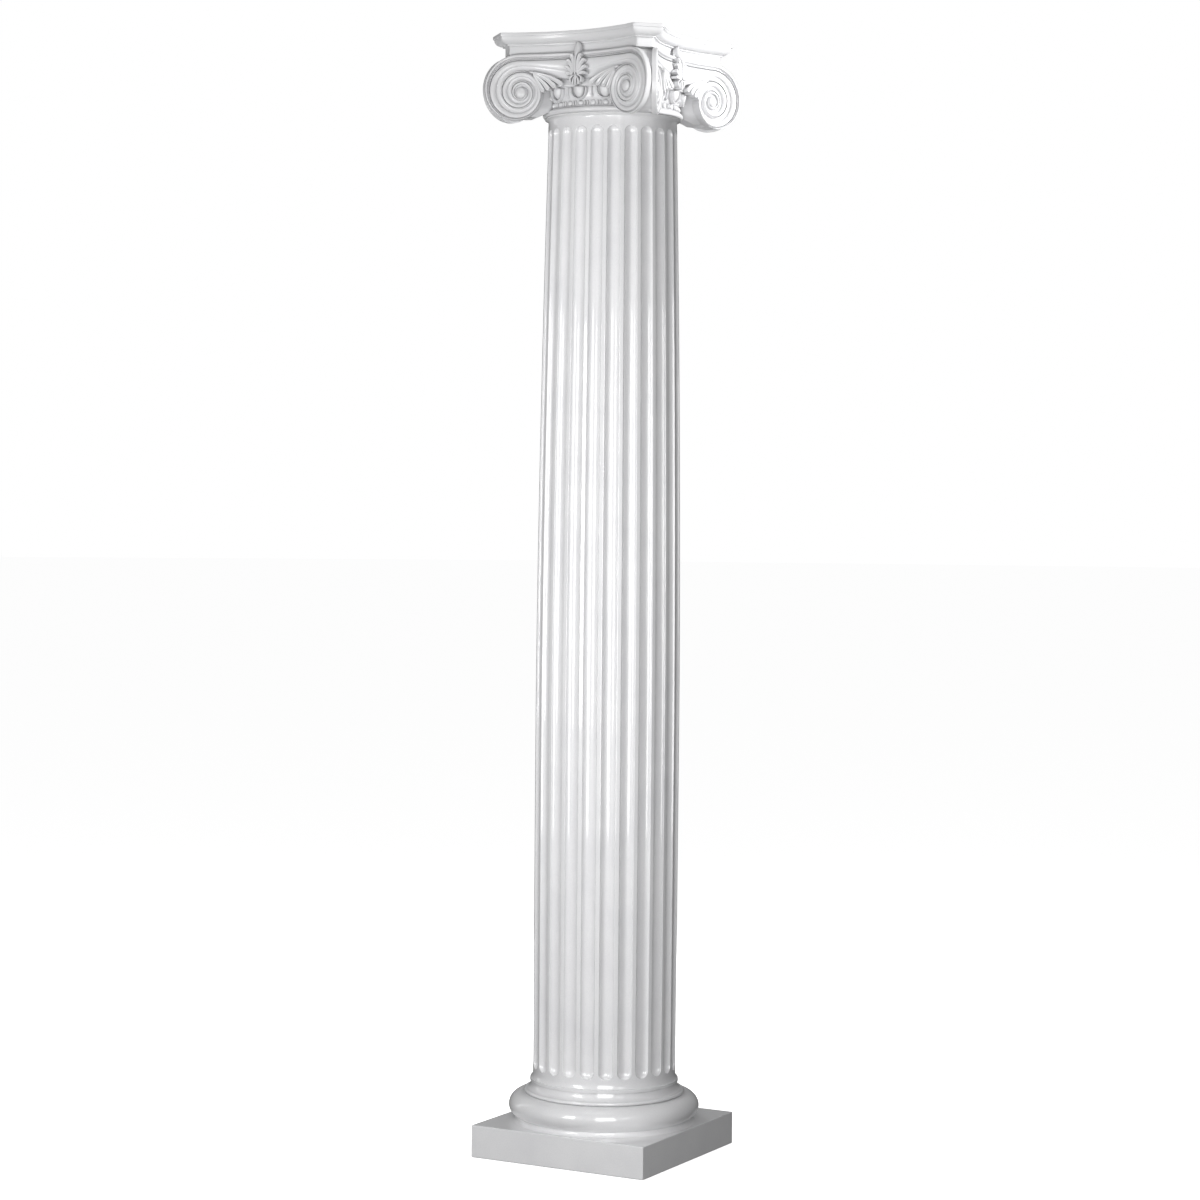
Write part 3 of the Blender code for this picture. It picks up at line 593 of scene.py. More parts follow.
def egg_surface():
    """A flat-topped egg: rings of half an ellipsoid, cut level at its widest.

    A ring at angle b from the lowest point is half_width sin b wide and (1 - cos b) of its height up.
    """
    size = capital_sizes()
    b = np.radians(np.linspace(0, 94, 14))[:, None]
    around = np.linspace(0, math.tau, 20, endpoint=False)
    rise = (size.egg_top - EGG_TOP_GAP - EGG_LOW) * (1 - np.cos(b)) / (1 - np.cos(b[-1]))
    height = EGG_LOW + rise + 0 * around
    wide = size.egg_half_width * np.sin(b) ** EGG_POWER
    out = EGG_DEPTH * np.sin(b) ** EGG_POWER
    points = round_the_bell(wide * np.cos(around), egg_ground(height) - 0.0006 + out * np.sin(around), height)
    lid = points.mean(axis=1, keepdims=True).repeat(points.shape[1], axis=1)
    return skin(np.concatenate([points, lid[-1:]]), False, True)


SHELL_MIDDLE = 0.0165        # middle of the shell's bend over the lowest point of the egg
SHELL_ACROSS = 0.0178        # half the shell's bend across
SHELL_RISE = 0.0170          # and up
SHELL_PROUD = 0.0026         # its middle line before the ovolo
SHELL_HALF = 0.0018          # half the rib across
SHELL_DEPTH = 0.0060         # half the rib out


def shell_surface():
    """The rim round an egg: an oval rib along a U, which is half an ellipse with upright ends."""
    size = capital_sizes()
    a = np.radians(np.linspace(-180, 0, 27))
    middle = EGG_LOW + SHELL_MIDDLE
    across = SHELL_ACROSS * np.cos(a)
    height = middle + SHELL_RISE * np.sin(a)
    ends = np.linspace(0.94, 0, 5)[:, None] * (size.egg_top - middle)
    across = np.concatenate([np.full(5, across[0]), across[1:-1], np.full(5, across[-1])])
    height = np.concatenate([middle + ends[:, 0], height[1:-1], middle + ends[::-1, 0]])
    path = round_the_bell(across, egg_ground(height) + SHELL_PROUD, height)
    out = round_the_bell(across, 1.0, 0 * height)
    along = np.gradient(path, axis=0)
    side = np.cross(along, out)
    side /= np.linalg.norm(side, axis=1)[:, None]
    closing = np.ones(len(path))
    closing[[0, -1]] = 0
    return rib(path, side, out, SHELL_HALF * closing, SHELL_DEPTH * closing, 10)


def dart_surface():
    """The dart between two shells: an upright rib, widest low down, that ends in a point."""
    size = capital_sizes()
    way = np.array([0, 0.0, 0.15, 0.4, 0.6, 0.72, 0.82, 0.9, 0.96, 1])
    width = np.array([0, 1.6, 1.5, 1.4, 1.6, 2.6, 2.6, 1.8, 0.9, 0]) / 1000
    height = size.egg_top - 0.0004 - way * (size.egg_top - size.bead_row_top - 0.003)
    half_pitch = math.pi / size.egg_count
    path = round_the_bell(np.full(len(way), half_pitch * OVOLO_HIGH_RADIUS),
                          egg_ground(height) + 0.0005, height)
    side, out = (np.repeat(vector[None], len(way), axis=0) for vector in facing(half_pitch))
    return rib(path, side, out, width, width * 2.6, 8)


def pearl(across, half_length, half_height, depth, steps=(14, 9)):
    """An ellipsoid on the bead row, at arc length across: its poles lie along the row."""
    _, shaft, size = sizes()
    b = np.linspace(0, math.pi, steps[1])[:, None]
    a = np.linspace(0, math.tau, steps[0], endpoint=False)
    middle = (size.bead_row_top + shaft.top + 2 * size.roll_rise + 0.0015) / 2
    radius = size.bead_radius - depth
    points = round_the_bell(across - half_length * np.cos(b) + 0 * a, radius + depth * np.sin(b) * np.sin(a),
                            middle + half_height * np.sin(b) * np.cos(a))
    return skin(points, False, True)


class COLUMN_OT_bell(bpy.types.Operator):
    """Build the turned bell of the capital with its roll"""
    bl_idname = "ionic_column.bell"
    bl_label = "Bell and roll"

    def execute(self, context):
        make_piece("capital_bell", [bell_surface()], carved_finish(), "capital")
        return {"FINISHED"}


class COLUMN_OT_beads(bpy.types.Operator):
    """Thread the row of beads and paired reels round the bell"""
    bl_idname = "ionic_column.beads"
    bl_label = "Beads and reels"

    def execute(self, context):
        size = capital_sizes()
        pitch = math.tau / size.bead_count
        half = pitch * OVOLO_HIGH_RADIUS / 2
        angles = np.arange(size.bead_count) * pitch
        beads = turned(pearl(0.0, half * 0.50, 0.0066, 0.0064), angles)
        reels = [turned(pearl(half + side * half * 0.20, half * 0.125, 0.0062, 0.0056, (12, 7)), angles)
                 for side in (-1, 1)]
        make_piece("bead_row", [beads] + reels, carved_finish(), "capital", 80)
        return {"FINISHED"}


class COLUMN_OT_eggs(bpy.types.Operator):
    """Set the eggs, their shells and the darts between them round the bell"""
    bl_idname = "ionic_column.eggs"
    bl_label = "Eggs and darts"

    def execute(self, context):
        size = capital_sizes()
        angles = np.arange(size.egg_count) * math.tau / size.egg_count
        parts = [turned(part, angles) for part in (egg_surface(), shell_surface(), dart_surface())]
        make_piece("eggs_and_darts", parts, carved_finish(), "capital", 60)
        return {"FINISHED"}


# Capital: abacus

def abacus_rings(rows, side_steps=48, cut_steps=10):
    """Closed level outlines for rows of (out, corner, height), as an array of rings.

    Each side is an arc of the curve's radius R about a point R beyond the side's middle. It ends
    where it meets the line square to the diagonal at the distance corner. A cut is a straight line.
    """
    size = capital_sizes()
    curve = size.side_curve
    out, corner, height = np.array(rows, float).T[:, :, None]
    total = corner * math.sqrt(2) - out - curve
    end = (total + np.sqrt(2 * curve ** 2 - total ** 2)) / 2
    soft = 0.0010
    share = np.sin(np.linspace(-1, 1, side_steps) * math.pi / 2 * 0.9) / math.sin(math.pi / 2 * 0.9)
    x = (end - soft) * share
    y = -(out + curve - np.sqrt(curve ** 2 - x ** 2))
    # the cut runs from the side's right end to the next side's left end
    start_x, start_y = end, -(out + curve - np.sqrt(curve ** 2 - end ** 2))
    way = np.linspace(0, 1, cut_steps)
    lean = np.clip(way, 0.03, 0.97)
    cut_x = start_x + (-start_y - start_x) * lean
    cut_y = start_y + (-start_x - start_y) * lean
    quarter = np.stack([np.concatenate([x, cut_x], axis=1), np.concatenate([y, cut_y], axis=1)], axis=-1)
    cos, sin = np.cos(QUARTERS)[:, None], np.sin(QUARTERS)[:, None]
    qx, qy = quarter[:, None, :, 0], quarter[:, None, :, 1]
    ring = np.stack([qx * cos - qy * sin, qx * sin + qy * cos,
                     np.broadcast_to(height[:, None], (len(rows), 4, qx.shape[-1]))], axis=-1)
    return ring.reshape(len(rows), -1, 3)


SLAB_ARRIS = 0.0009          # the slab's softened edges
OVOLO_SET = 0.0022           # the curve starts this far in from the slab's face
FIELD_DROP = 0.010           # the field's corners lie this far in from the fascia's
FIELD_OPEN = 0.060           # the plain field stays forward this far from a face's middle
FIELD_SLOPE = 0.012          # and goes back over this much
FIELD_SINK = 0.010           # by this much


def abacus_surface():
    """Slab, ovolo, step, fascia and plain field as one closed ring round the bore."""
    size = capital_sizes()
    top, soft = size.height, SLAB_ARRIS
    face_low = top - size.slab_face
    insets = [(soft, top), (soft * 0.3, top - soft * 0.3), (0, top - soft), (0, face_low + soft),
              (soft * 0.5, face_low), (OVOLO_SET, face_low - 0.0002)]
    a = np.radians(np.linspace(14, 90, 15))
    insets += list(zip(OVOLO_SET + (size.ovolo_inset - OVOLO_SET) * (1 - np.cos(a)),
                       face_low - size.ovolo_rise * np.sin(a)))
    step = face_low - size.ovolo_rise - size.fascia_step
    insets += [(size.ovolo_inset + 0.0004, step + 0.0024), (size.ovolo_inset + 0.0004, step + 0.0003),
               (size.fascia_inset - 0.001, step), (size.fascia_inset, step - 0.0008),
               (size.fascia_inset, (step + size.band_top) / 2), (size.fascia_inset, size.band_top - 0.0015)]
    rows = [(size.slab_out - inset, size.slab_corner - inset, height) for inset, height in insets]
    # the plain field under the fascia, as (behind the faces, height)
    field_corner = size.slab_corner - size.fascia_inset - FIELD_DROP
    rows += [(size.face_out - behind, field_corner, height) for behind, height in
             ((0.008, size.band_top - 0.0020), (0.007, size.canal_sag_height + 0.006),
              (0.002, size.egg_top + 0.004), (0.003, size.egg_top + 0.002))]
    rings = abacus_rings(rows)
    plan = rings[:, :, :2]
    # behind the volutes the field lies deeper than their carving
    beside = np.clip((np.abs(plan[-3:]).min(axis=-1) - FIELD_OPEN) / FIELD_SLOPE, 0, 1)
    plan[-3:] *= (1 - beside * FIELD_SINK / np.linalg.norm(plan[-3:], axis=-1))[..., None]
    inner = plan / np.linalg.norm(plan, axis=-1, keepdims=True) * (size.bore_radius + INSIDE_DROP)
    inner_low = np.concatenate([inner[-1], rings[-1][:, 2:]], axis=-1)
    inner_top = np.concatenate([inner[0], rings[0][:, 2:]], axis=-1)
    return skin(np.concatenate([rings, inner_low[None], inner_top[None]]), True, True)


class COLUMN_OT_abacus(bpy.types.Operator):
    """Build the concave abacus with its moulding and the plain field under it"""
    bl_idname = "ionic_column.abacus"
    bl_label = "Abacus"

    def execute(self, context):
        make_piece("abacus", [abacus_surface()], carved_finish(), "capital")
        return {"FINISHED"}


# Capital: canal and volutes

TURNS = 3
TURN_STEPS = 60              # rows along one turn of a volute
CANAL_STEPS = 26             # rows along half a canal
RIM_TOP = 0.0118             # width of the rim at the top of a volute


def on_face(across, proud, height):
    """Bend points of the developed face onto the front face, whose plan is an arc."""
    size = capital_sizes()
    angle = across / size.face_curve
    reach = size.face_curve - proud
    return np.stack([reach * np.sin(angle), reach * np.cos(angle) - size.face_out - size.face_curve,
                     height + 0 * across], axis=-1)


OUTLINE_END = 0.0125         # radius that the edge's spiral tends to


def outline_radius(angle):
    """Radius of a volute's edge about its eye, turning from the top outwards and down."""
    size = capital_sizes()
    left = np.clip(1 - angle / (TURNS * math.tau), 0, 1)
    lean = 1 + 0.12 * np.sqrt(left) * np.sin(angle)
    lift = 1 - 0.04 * (1 - np.cos(angle))
    return (OUTLINE_END + (size.band_top - size.eye_height - OUTLINE_END) * left ** 1.6) * lean * lift


def bead_spiral(angle):
    """Radius of the thin bead that winds to the eye: a power of the way left, wider outwards.

    It starts a rim's width inside the edge and meets the edge after one turn.
    """
    size = capital_sizes()
    left = np.clip(1 - angle / (TURNS * math.tau), 0, 1)
    first = size.band_top - size.eye_height - RIM_TOP
    lean = 1 + 0.13 * np.sqrt(left) * np.sin(angle) - 0.02 * np.sqrt(left) * (1 - np.cos(angle))
    return size.eye_radius + (first - size.eye_radius) * left ** 1.32 * lean


def edge_line(angle):
    """The edge for the first turn, drawn so that it meets the bead at the turn's end."""
    share = np.clip(angle / math.tau, 0, 1)
    width = outline_radius(angle) - bead_spiral(angle)
    end = outline_radius(math.tau) - bead_spiral(math.tau)
    return bead_spiral(angle) + np.maximum(width - end * share, 0.0022 * (1 - share))


def about_eye(radius, angle):
    """Points (across, height) at a radius and an angle about the eye, from the top outwards."""
    size = capital_sizes()
    return np.stack([size.eye_across + radius * np.sin(angle),
                     size.eye_height + radius * np.cos(angle)], axis=-1)


BEAD_CREST = 0.0018          # the thin bead stands this far off the face
EYE_CREST = 0.0006           # and this far where it has run into the eye
EYE_RISE = 0.0042            # the eye's dome
BEAD_WIDTH = 0.0013          # half the thin bead across
ROLL_SHARE = 0.56            # of the strip between two beads
QUIRK = 0.0032               # the quirks lie this far behind the face
ROLL_RISE = 0.0042           # of the roll over the quirks
HOLLOW_SINK = 0.0018         # of the hollow under them
FULL_WIDTH = 0.014           # a strip narrower than this is carved less deep in proportion
RIM_FOOT = 0.0012            # the rim's own foot behind the face
RIM_RISE = 0.0030            # its roll over that
RIM_SINK = 0.0022            # its hollow under it
RIM_FULL_WIDTH = 0.010       # a narrower rim is carved less deep in proportion


def crest(angle):
    """Height of the thin bead: even, then falling along its last turn down to the eye's edge."""
    last = np.clip(angle / math.tau - (TURNS - 1), 0, 1)
    return BEAD_CREST + (EYE_CREST - BEAD_CREST) * last


def band_section():
    """Section between two beads, as zone, share of the zone, and height in parts.

    Zones are 0 a bead, 1 a roll, 2 a hollow and 3 the next bead. Each is a quarter or half of an
    ellipse. A bead's height counts from the quirk to its crest, the roll's and the hollow's in
    their own rise and sink.
    """
    quarter = np.linspace(0, 1, 6)
    half = (1 - np.cos(np.linspace(0, math.pi, 11))) / 2
    dome = np.sqrt(np.maximum(1 - (2 * half - 1) ** 2, 0))
    parts = ((quarter[:-1], np.sqrt(1 - quarter[:-1] ** 2)), (half[:-1], (dome * (1.12 - 0.24 * half))[:-1]),
             (half[:-1], -dome[:-1]), (quarter, np.sqrt(1 - (1 - quarter) ** 2)))
    zone = np.repeat(np.arange(4), [len(share) for share, _ in parts])
    share, height = (np.concatenate(values) for values in zip(*parts))
    return zone, share, height


def between_lines(outer, inner, outer_crest, inner_crest):
    """The carved strip between two lines of (across, height), as (across, proud, height)."""
    zone, share, height = band_section()
    width = np.linalg.norm(outer - inner, axis=1)[:, None]
    bead = np.minimum(BEAD_WIDTH, 0.10 * width)
    free = width - 2 * bead
    starts = np.stack([0 * width, bead, bead + ROLL_SHARE * free, width - bead])[zone, :, 0].T
    spans = np.stack([bead, ROLL_SHARE * free, (1 - ROLL_SHARE) * free, bead])[zone, :, 0].T
    way = np.divide(starts + spans * share, width, out=np.zeros_like(starts), where=width > 1e-7)
    flat = outer[:, None] + (inner - outer)[:, None] * way[..., None]
    scale = np.clip(width / FULL_WIDTH, 0.0, 1.0)
    quirk = -QUIRK * scale
    tops = np.stack([outer_crest[:, None] - quirk, ROLL_RISE * scale, HOLLOW_SINK * scale,
                     inner_crest[:, None] - quirk])
    proud = quirk + tops[zone, :, 0].T * height
    return np.stack([flat[..., 0], proud, flat[..., 1]], axis=-1)


def rim_strip(outer, inner):
    """The rim outside the first bead: a roll, then a hollow down to the bead's foot."""
    width = np.linalg.norm(outer - inner, axis=1)[:, None]
    s = np.array([0, 0.03, 0.09, 0.18, 0.3, 0.42, 0.52, 0.58, 0.64, 0.72, 0.8, 0.88, 0.94, 1.0])
    roll = -RIM_FOOT + RIM_RISE * np.sqrt(np.maximum(1 - ((s - 0.29) / 0.29) ** 2, 0))
    hollow = -RIM_FOOT - RIM_SINK * np.sqrt(np.maximum(1 - ((s - 0.76) / 0.18) ** 2, 0))
    proud = np.where(s <= 0.58, roll, hollow) * np.clip(width / RIM_FULL_WIDTH, 0.0, 1.0)
    proud[:, -1] = BEAD_CREST
    flat = outer[:, None] + (inner - outer)[:, None] * s[:, None]
    return np.stack([flat[..., 0], proud, flat[..., 1]], axis=-1)


def face_relief():
    """Canal and both volutes of one face as a closed relief: front strips, edge and back."""
    size = capital_sizes()
    angle = np.arange(TURNS * TURN_STEPS + 1) * math.tau / TURN_STEPS
    bead = about_eye(bead_spiral(angle), angle)
    next_bead = about_eye(bead_spiral(angle + math.tau), angle)
    edge = about_eye(edge_line(angle[:TURN_STEPS + 1]), angle[:TURN_STEPS + 1])
    across = size.eye_across * np.arange(CANAL_STEPS) / CANAL_STEPS
    rise = np.sin(math.pi / 2 * across / size.eye_across) ** 1.9
    low = size.canal_sag_height + (next_bead[0, 1] - size.canal_sag_height) * rise
    canal_top = np.stack([across, 0 * across + size.band_top], axis=-1)
    canal_bead = canal_top - (0, RIM_TOP)
    canal_low = np.stack([across, low], axis=-1)
    outer = np.concatenate([canal_bead, bead])
    inner = np.concatenate([canal_low, next_bead])
    rim_outer = np.concatenate([canal_top, edge])
    rim_inner = np.concatenate([canal_bead, bead[:TURN_STEPS + 1]])
    canal_crest = np.full(CANAL_STEPS, BEAD_CREST)
    front = between_lines(outer, inner, np.concatenate([canal_crest, crest(angle)]),
                          np.concatenate([canal_crest, crest(angle + math.tau)]))
    rim = rim_strip(rim_outer, rim_inner)
    turn = angle[-TURN_STEPS - 1:]
    dome = np.linspace(0, math.pi / 2, 6)
    radius = size.eye_radius * np.cos(dome)[:, None]
    eye = np.stack([size.eye_across + radius * np.sin(turn), EYE_RISE * np.sin(dome)[:, None] + 0 * turn,
                    size.eye_height + radius * np.cos(turn)], axis=-1)
    eye[0, :, 1] = EYE_CREST
    # the closed outline: the upper edge out to the volute and round it, then the canal's lower edge
    loop = np.concatenate([rim[:, 0], front[:CANAL_STEPS, -1][::-1]])
    thick = volute_back(loop[:, 0])
    levels = [loop]
    for share in (0.12, 0.5, 1.0):
        level = loop.copy()
        level[:, 1] = loop[:, 1] * (1 - share) - thick * share
        levels.append(level)
    skirt = np.stack(levels)
    # the back: the canal's two edges, and a fan from the volute's edge to its eye
    edge_back = rim[CANAL_STEPS:, 0]
    share = np.linspace(0, 1, TURN_STEPS + 1)[:, None]
    centre = np.array([size.eye_across, 0.0, size.eye_height])
    first, last = np.linalg.norm(edge_back[0] - centre), np.linalg.norm(edge_back[-1] - centre)
    middle = centre + (edge_back - centre) * (last / first + (1 - last / first) * share)
    fan = np.stack([edge_back, middle, np.broadcast_to(centre, middle.shape)], axis=1)
    canal_back = np.stack([rim[:CANAL_STEPS + 1, 0],
                           np.concatenate([front[:CANAL_STEPS, -1], middle[:1]])], axis=1)
    for sheet in (fan, canal_back):
        sheet[..., 1] = -volute_back(sheet[..., 0])
    half = [skin(place(grid)) for grid in (front, rim, eye, skirt, fan, canal_back)]
    return gather(half + [mirrored(part) for part in half])


def place(grid):
    return on_face(grid[..., 0], grid[..., 1], grid[..., 2])


BACK_THIN = 0.0098           # thickness of the relief at the corners
BACK_THICK = 0.016           # and at the middle of a face


def volute_back(across):
    """Thickness behind the face: thick in the middle, thin towards the corners."""
    share = np.clip((capital_sizes().eye_across + 0.0125 - np.abs(across)) / 0.0375, 0, 1)
    return BACK_THIN + (BACK_THICK - BACK_THIN) * share


def over_diagonal(points):
    """Mirror points over the vertical plane through the front right corner."""
    return np.stack([-points[..., 1], -points[..., 0], points[..., 2]], axis=-1)


SCROLL_INSET = 0.0016        # the band lies this far in from the volutes' edges
SCROLL_EDGE = 0.0030         # its arrises lie this far behind the faces
SCROLL_TUCK = 0.0035         # and this much further where it winds in under the volutes
SCROLL_WALL = 0.018          # from the edge in to the band's hidden inner side
SCROLL_DEPTH = 0.0115        # greatest depth of the channel
HIDDEN_DEPTH = 0.0085        # what is hidden lies this far behind the faces
CORE_INSET = 0.0100          # the corner's body lies this far in from the volutes' edges
CORE_HALF = 0.024            # half its width at its root
CORE_ROOT = 0.142            # from the axis to its root
UNDERCUT_HEIGHT = 2.278      # below this height the root draws away from the shaft
UNDERCUT_SLOPE = 2.2


def corner_scroll():
    """The band that winds round a corner from one volute's edge to its neighbour's.

    A section is the straight line between the two edges, sunk to a hollow channel: its depth is
    (1 - |2t - 1|)^0.8 of the depth in the middle, for t from 0 to 1 across, behind a narrow arris.
    """
    angle = np.linspace(-0.12, 1.72 * math.pi, 74)
    reach = outline_radius(np.maximum(angle, 0)) - SCROLL_INSET
    point = about_eye(reach, angle)
    behind = -SCROLL_EDGE - SCROLL_TUCK * np.clip(angle / math.pi - 1, 0, 0.25) / 0.25
    left = on_face(point[:, 0], behind, point[:, 1])
    right = over_diagonal(left)
    root = about_eye(reach - SCROLL_WALL, angle)
    left_root = on_face(root[:, 0], -HIDDEN_DEPTH, root[:, 1])
    right_root = over_diagonal(left_root)
    evened = (1 - np.cos(np.linspace(0, math.pi, 19)[1:-1])) / 2
    t = np.concatenate([[0, 0.03, 0.07], 0.07 + 0.86 * evened, [0.93, 0.97, 1]])
    sunk = ((1 - np.abs(2 * t - 1)) / 0.93 - 0.07) / 0.93
    width = np.linalg.norm(right - left, axis=1)[:, None]
    height = -np.minimum(0.50 * width, SCROLL_DEPTH) * np.clip(sunk, 0, 1) ** 0.8
    height[:, [0, -1]] = -0.0008
    diagonal = np.array([math.sqrt(0.5), -math.sqrt(0.5), 0.0])
    normal = np.sin(angle)[:, None] * diagonal + np.cos(angle)[:, None] * np.array([0, 0, 1.0])
    line = left[:, None] + (right - left)[:, None] * t[:, None]
    outside = line + normal[:, None] * height[..., None]
    inside = right_root[:, None] + (left_root - right_root)[:, None] * t[:, None]
    return capped(np.concatenate([outside, inside], axis=1))


def corner_core():
    """The body of a corner behind its two volutes: level sections out from the bell."""
    size = capital_sizes()
    angle = np.linspace(0, math.tau, 241)
    outline = about_eye(outline_radius(angle), angle)
    turning = int(outline[:, 1].argmin())
    outside, inside = outline[:turning + 1][::-1], outline[turning:]
    z = np.linspace(outline[:, 1].min() + CORE_INSET, size.band_top - 0.001, 20)
    reach = np.interp(z, outside[:, 1], outside[:, 0]) - CORE_INSET
    start = np.interp(z, inside[:, 1], inside[:, 0]) + CORE_INSET
    reach, start = np.maximum(reach, size.eye_across + 0.006), np.minimum(start, size.eye_across - 0.012)
    across = start[:, None] + (reach - start)[:, None] * np.linspace(0, 1, 6)
    face = on_face(across, -HIDDEN_DEPTH, z[:, None])
    root = CORE_ROOT + np.maximum(UNDERCUT_HEIGHT - z, 0) * UNDERCUT_SLOPE
    near = np.stack([root - CORE_HALF, -(root + CORE_HALF), z * math.sqrt(2)], axis=-1) * math.sqrt(0.5)
    roots = np.stack([over_diagonal(near), near], axis=1)
    return capped(np.concatenate([face, over_diagonal(face)[:, ::-1], roots], axis=1))


class COLUMN_OT_volutes(bpy.types.Operator):
    """Carve the canal and the two volutes of each face"""
    bl_idname = "ionic_column.volutes"
    bl_label = "Canals and volutes"

    def execute(self, context):
        make_piece("volute_bands", [turned(face_relief(), QUARTERS)], carved_finish(), "capital", 55)
        return {"FINISHED"}


class COLUMN_OT_corners(bpy.types.Operator):
    """Build the corners between the volutes with their channelled edges"""
    bl_idname = "ionic_column.corners"
    bl_label = "Corner scrolls"

    def execute(self, context):
        parts = [turned(corner_scroll(), QUARTERS), turned(corner_core(), QUARTERS)]
        make_piece("corner_scrolls", parts, carved_finish(), "capital")
        return {"FINISHED"}


# Capital: leaves

def bent(root, middle, tip, steps):
    """Points (1 - s)^2 root + 2 s (1 - s) middle + s^2 tip, for s from 0 to 1."""
    s = np.linspace(0, 1, steps)[:, None]
    return (1 - s) ** 2 * np.array(root) + 2 * s * (1 - s) * np.array(middle) + s ** 2 * np.array(tip)


def along(steps, places, millimetres):
    """Widths in metres at even steps along a leaf, read off a table in millimetres."""
    return np.interp(np.linspace(0, 1, steps), places, millimetres) / 1000


def lobe(line, half_width, lift, rise, hollow, foot=-0.003):
    """A leaf lobe on the face, along a line of (across, height).

    Its section is sqrt(1 - t^4) high, less hollow times (1 - t^2) in the middle, for t from -1 to 1
    across, so a hollow of 0 is a plain round and one near 1 leaves a rim on either side. Sides go
    down to the ground at the foot.
    """
    half_width, lift, rise, hollow = (np.broadcast_to(value, len(line))
                                      for value in (half_width, lift, rise, hollow))
    path = on_face(line[:, 0], 0.0, line[:, 1])
    out = on_face(line[:, 0], 1.0, line[:, 1]) - path
    side = np.cross(np.gradient(path, axis=0), out)
    side /= np.linalg.norm(side, axis=1)[:, None]
    t = np.sin(np.linspace(-1, 1, 13) * math.pi / 2)
    top = lift[:, None] + rise[:, None] * (np.sqrt(1 - t ** 4) - hollow[:, None] * (1 - t ** 2))
    low = np.broadcast_to(np.minimum(foot, lift - 0.006)[:, None], (len(line), 3))
    across = half_width[:, None] * np.concatenate([t, [0.8, 0.0, -0.8]])
    proud = np.concatenate([top, low], axis=1)
    return capped(path[:, None] + side[:, None] * across[..., None] + out[:, None] * proud[..., None])


def spoon(root, middle, tip, half, lift, rise=0.0045, foot=-0.003):
    """A hollow lobe that widens from its root and is round at its tip, where its rim closes."""
    line = bent(root, middle, tip, 20)
    run = np.concatenate([[0], np.cumsum(np.linalg.norm(np.diff(line, axis=0), axis=1))])
    left = np.clip((run[-1] - run) / half, 0.0, 1.0)
    s = run / run[-1]
    rounding = np.sqrt(1 - (1 - left) ** 2)
    width = half * (0.26 + 0.74 * s ** 0.8) * np.maximum(rounding, 0.12)
    return lobe(line, width, lift[0] + (lift[1] - lift[0]) * s, rise * (0.55 + 0.45 * rounding),
                0.95 * left * np.sqrt(s), foot)


# each lobe has a root, a bend and a tip, as (across, height), and half its width
PALMETTE_LOBES = (((0.0030, 2.3490), (0.0065, 2.3890), (0.0142, 2.3855), 0.0054),
                  ((0.0046, 2.3475), (0.0165, 2.3815), (0.0226, 2.3715), 0.0056),
                  ((0.0056, 2.3455), (0.0225, 2.3665), (0.0252, 2.3575), 0.0052),
                  ((0.0052, 2.3430), (0.0200, 2.3520), (0.0232, 2.3445), 0.0044))
PALMETTE_LEAVES = (((0.0035, 2.3440), (0.0190, 2.3400), (0.0115, 2.3285)),
                   ((0.0030, 2.3400), (0.0085, 2.3330), (0.0060, 2.3240)))
PALMETTE_RIDGE = (2.3440, 0.0735)     # foot of the middle leaf, and its length
PALMETTE_STEM = (2.3215, 2.3460)      # from and to
SPRAY_LOBES = (((0.1040, 2.3540), (0.0560, 2.3440), (0.0335, 2.3235), 0.0054),
               ((0.1030, 2.3515), (0.0690, 2.3415), (0.0510, 2.3190), 0.0060),
               ((0.1020, 2.3490), (0.0810, 2.3370), (0.0665, 2.3150), 0.0058),
               ((0.1010, 2.3465), (0.0890, 2.3320), (0.0790, 2.3110), 0.0052))
SPRAY_BUD = ((0.1120, 2.3545), (0.1070, 2.3555), (0.1000, 2.3525))


def palmette_surfaces():
    """A palmette: a ridged, pointed middle leaf on a rib, four hollow lobes to a side, and a stem."""
    foot, tall = PALMETTE_RIDGE
    way = np.linspace(0, 1, 24)
    line = np.stack([0 * way, foot + tall * way], axis=-1)
    width = along(24, (0, 0.48, 0.56, 0.66, 0.76, 0.88, 0.96, 1), (2.2, 1.9, 2.6, 6.2, 7.8, 5.4, 2.4, 0.2))
    lift = np.interp(way, (0, 0.5, 0.75, 1), (0.0110, 0.0100, 0.0015, -0.0050))
    parts = [lobe(line, width, lift, 0.0050, -0.35 * np.clip(way * 3 - 1.4, 0, 1))]
    width = along(16, (0, 0.6, 0.9, 1), (1.4, 2.6, 2.4, 1.0))
    sides = [spoon(*points, (0.0105, 0.0095)) for points in PALMETTE_LOBES]
    sides += [lobe(bent(*points, 16), width, 0.0085, 0.0034, 0.0) for points in PALMETTE_LEAVES]
    for one in sides:
        parts += [one, mirrored(one)]
    stem = np.stack([np.zeros(10), np.linspace(*PALMETTE_STEM, 10)], axis=-1)
    width = np.array([1.2, 2.0, 2.3, 2.3, 2.4, 2.6, 3.0, 3.4, 3.0, 1.6]) / 1000
    return parts + [lobe(stem, width, 0.0095, 0.0040, 0.0)]


def spray_surfaces():
    """Half a palmette in the angle between a volute and the eggs: long hollow lobes and a bud."""
    sides = [spoon(*points, (0.0030, 0.0060 - 0.0012 * number), 0.0050, -0.012)
             for number, points in enumerate(SPRAY_LOBES)]
    width = along(12, (0, 0.3, 0.7, 1), (0.4, 2.0, 2.8, 2.0))
    sides.append(lobe(bent(*SPRAY_BUD, 12), width, 0.0010, 0.0052, 0.0))
    return [part for one in sides for part in (one, mirrored(one))]


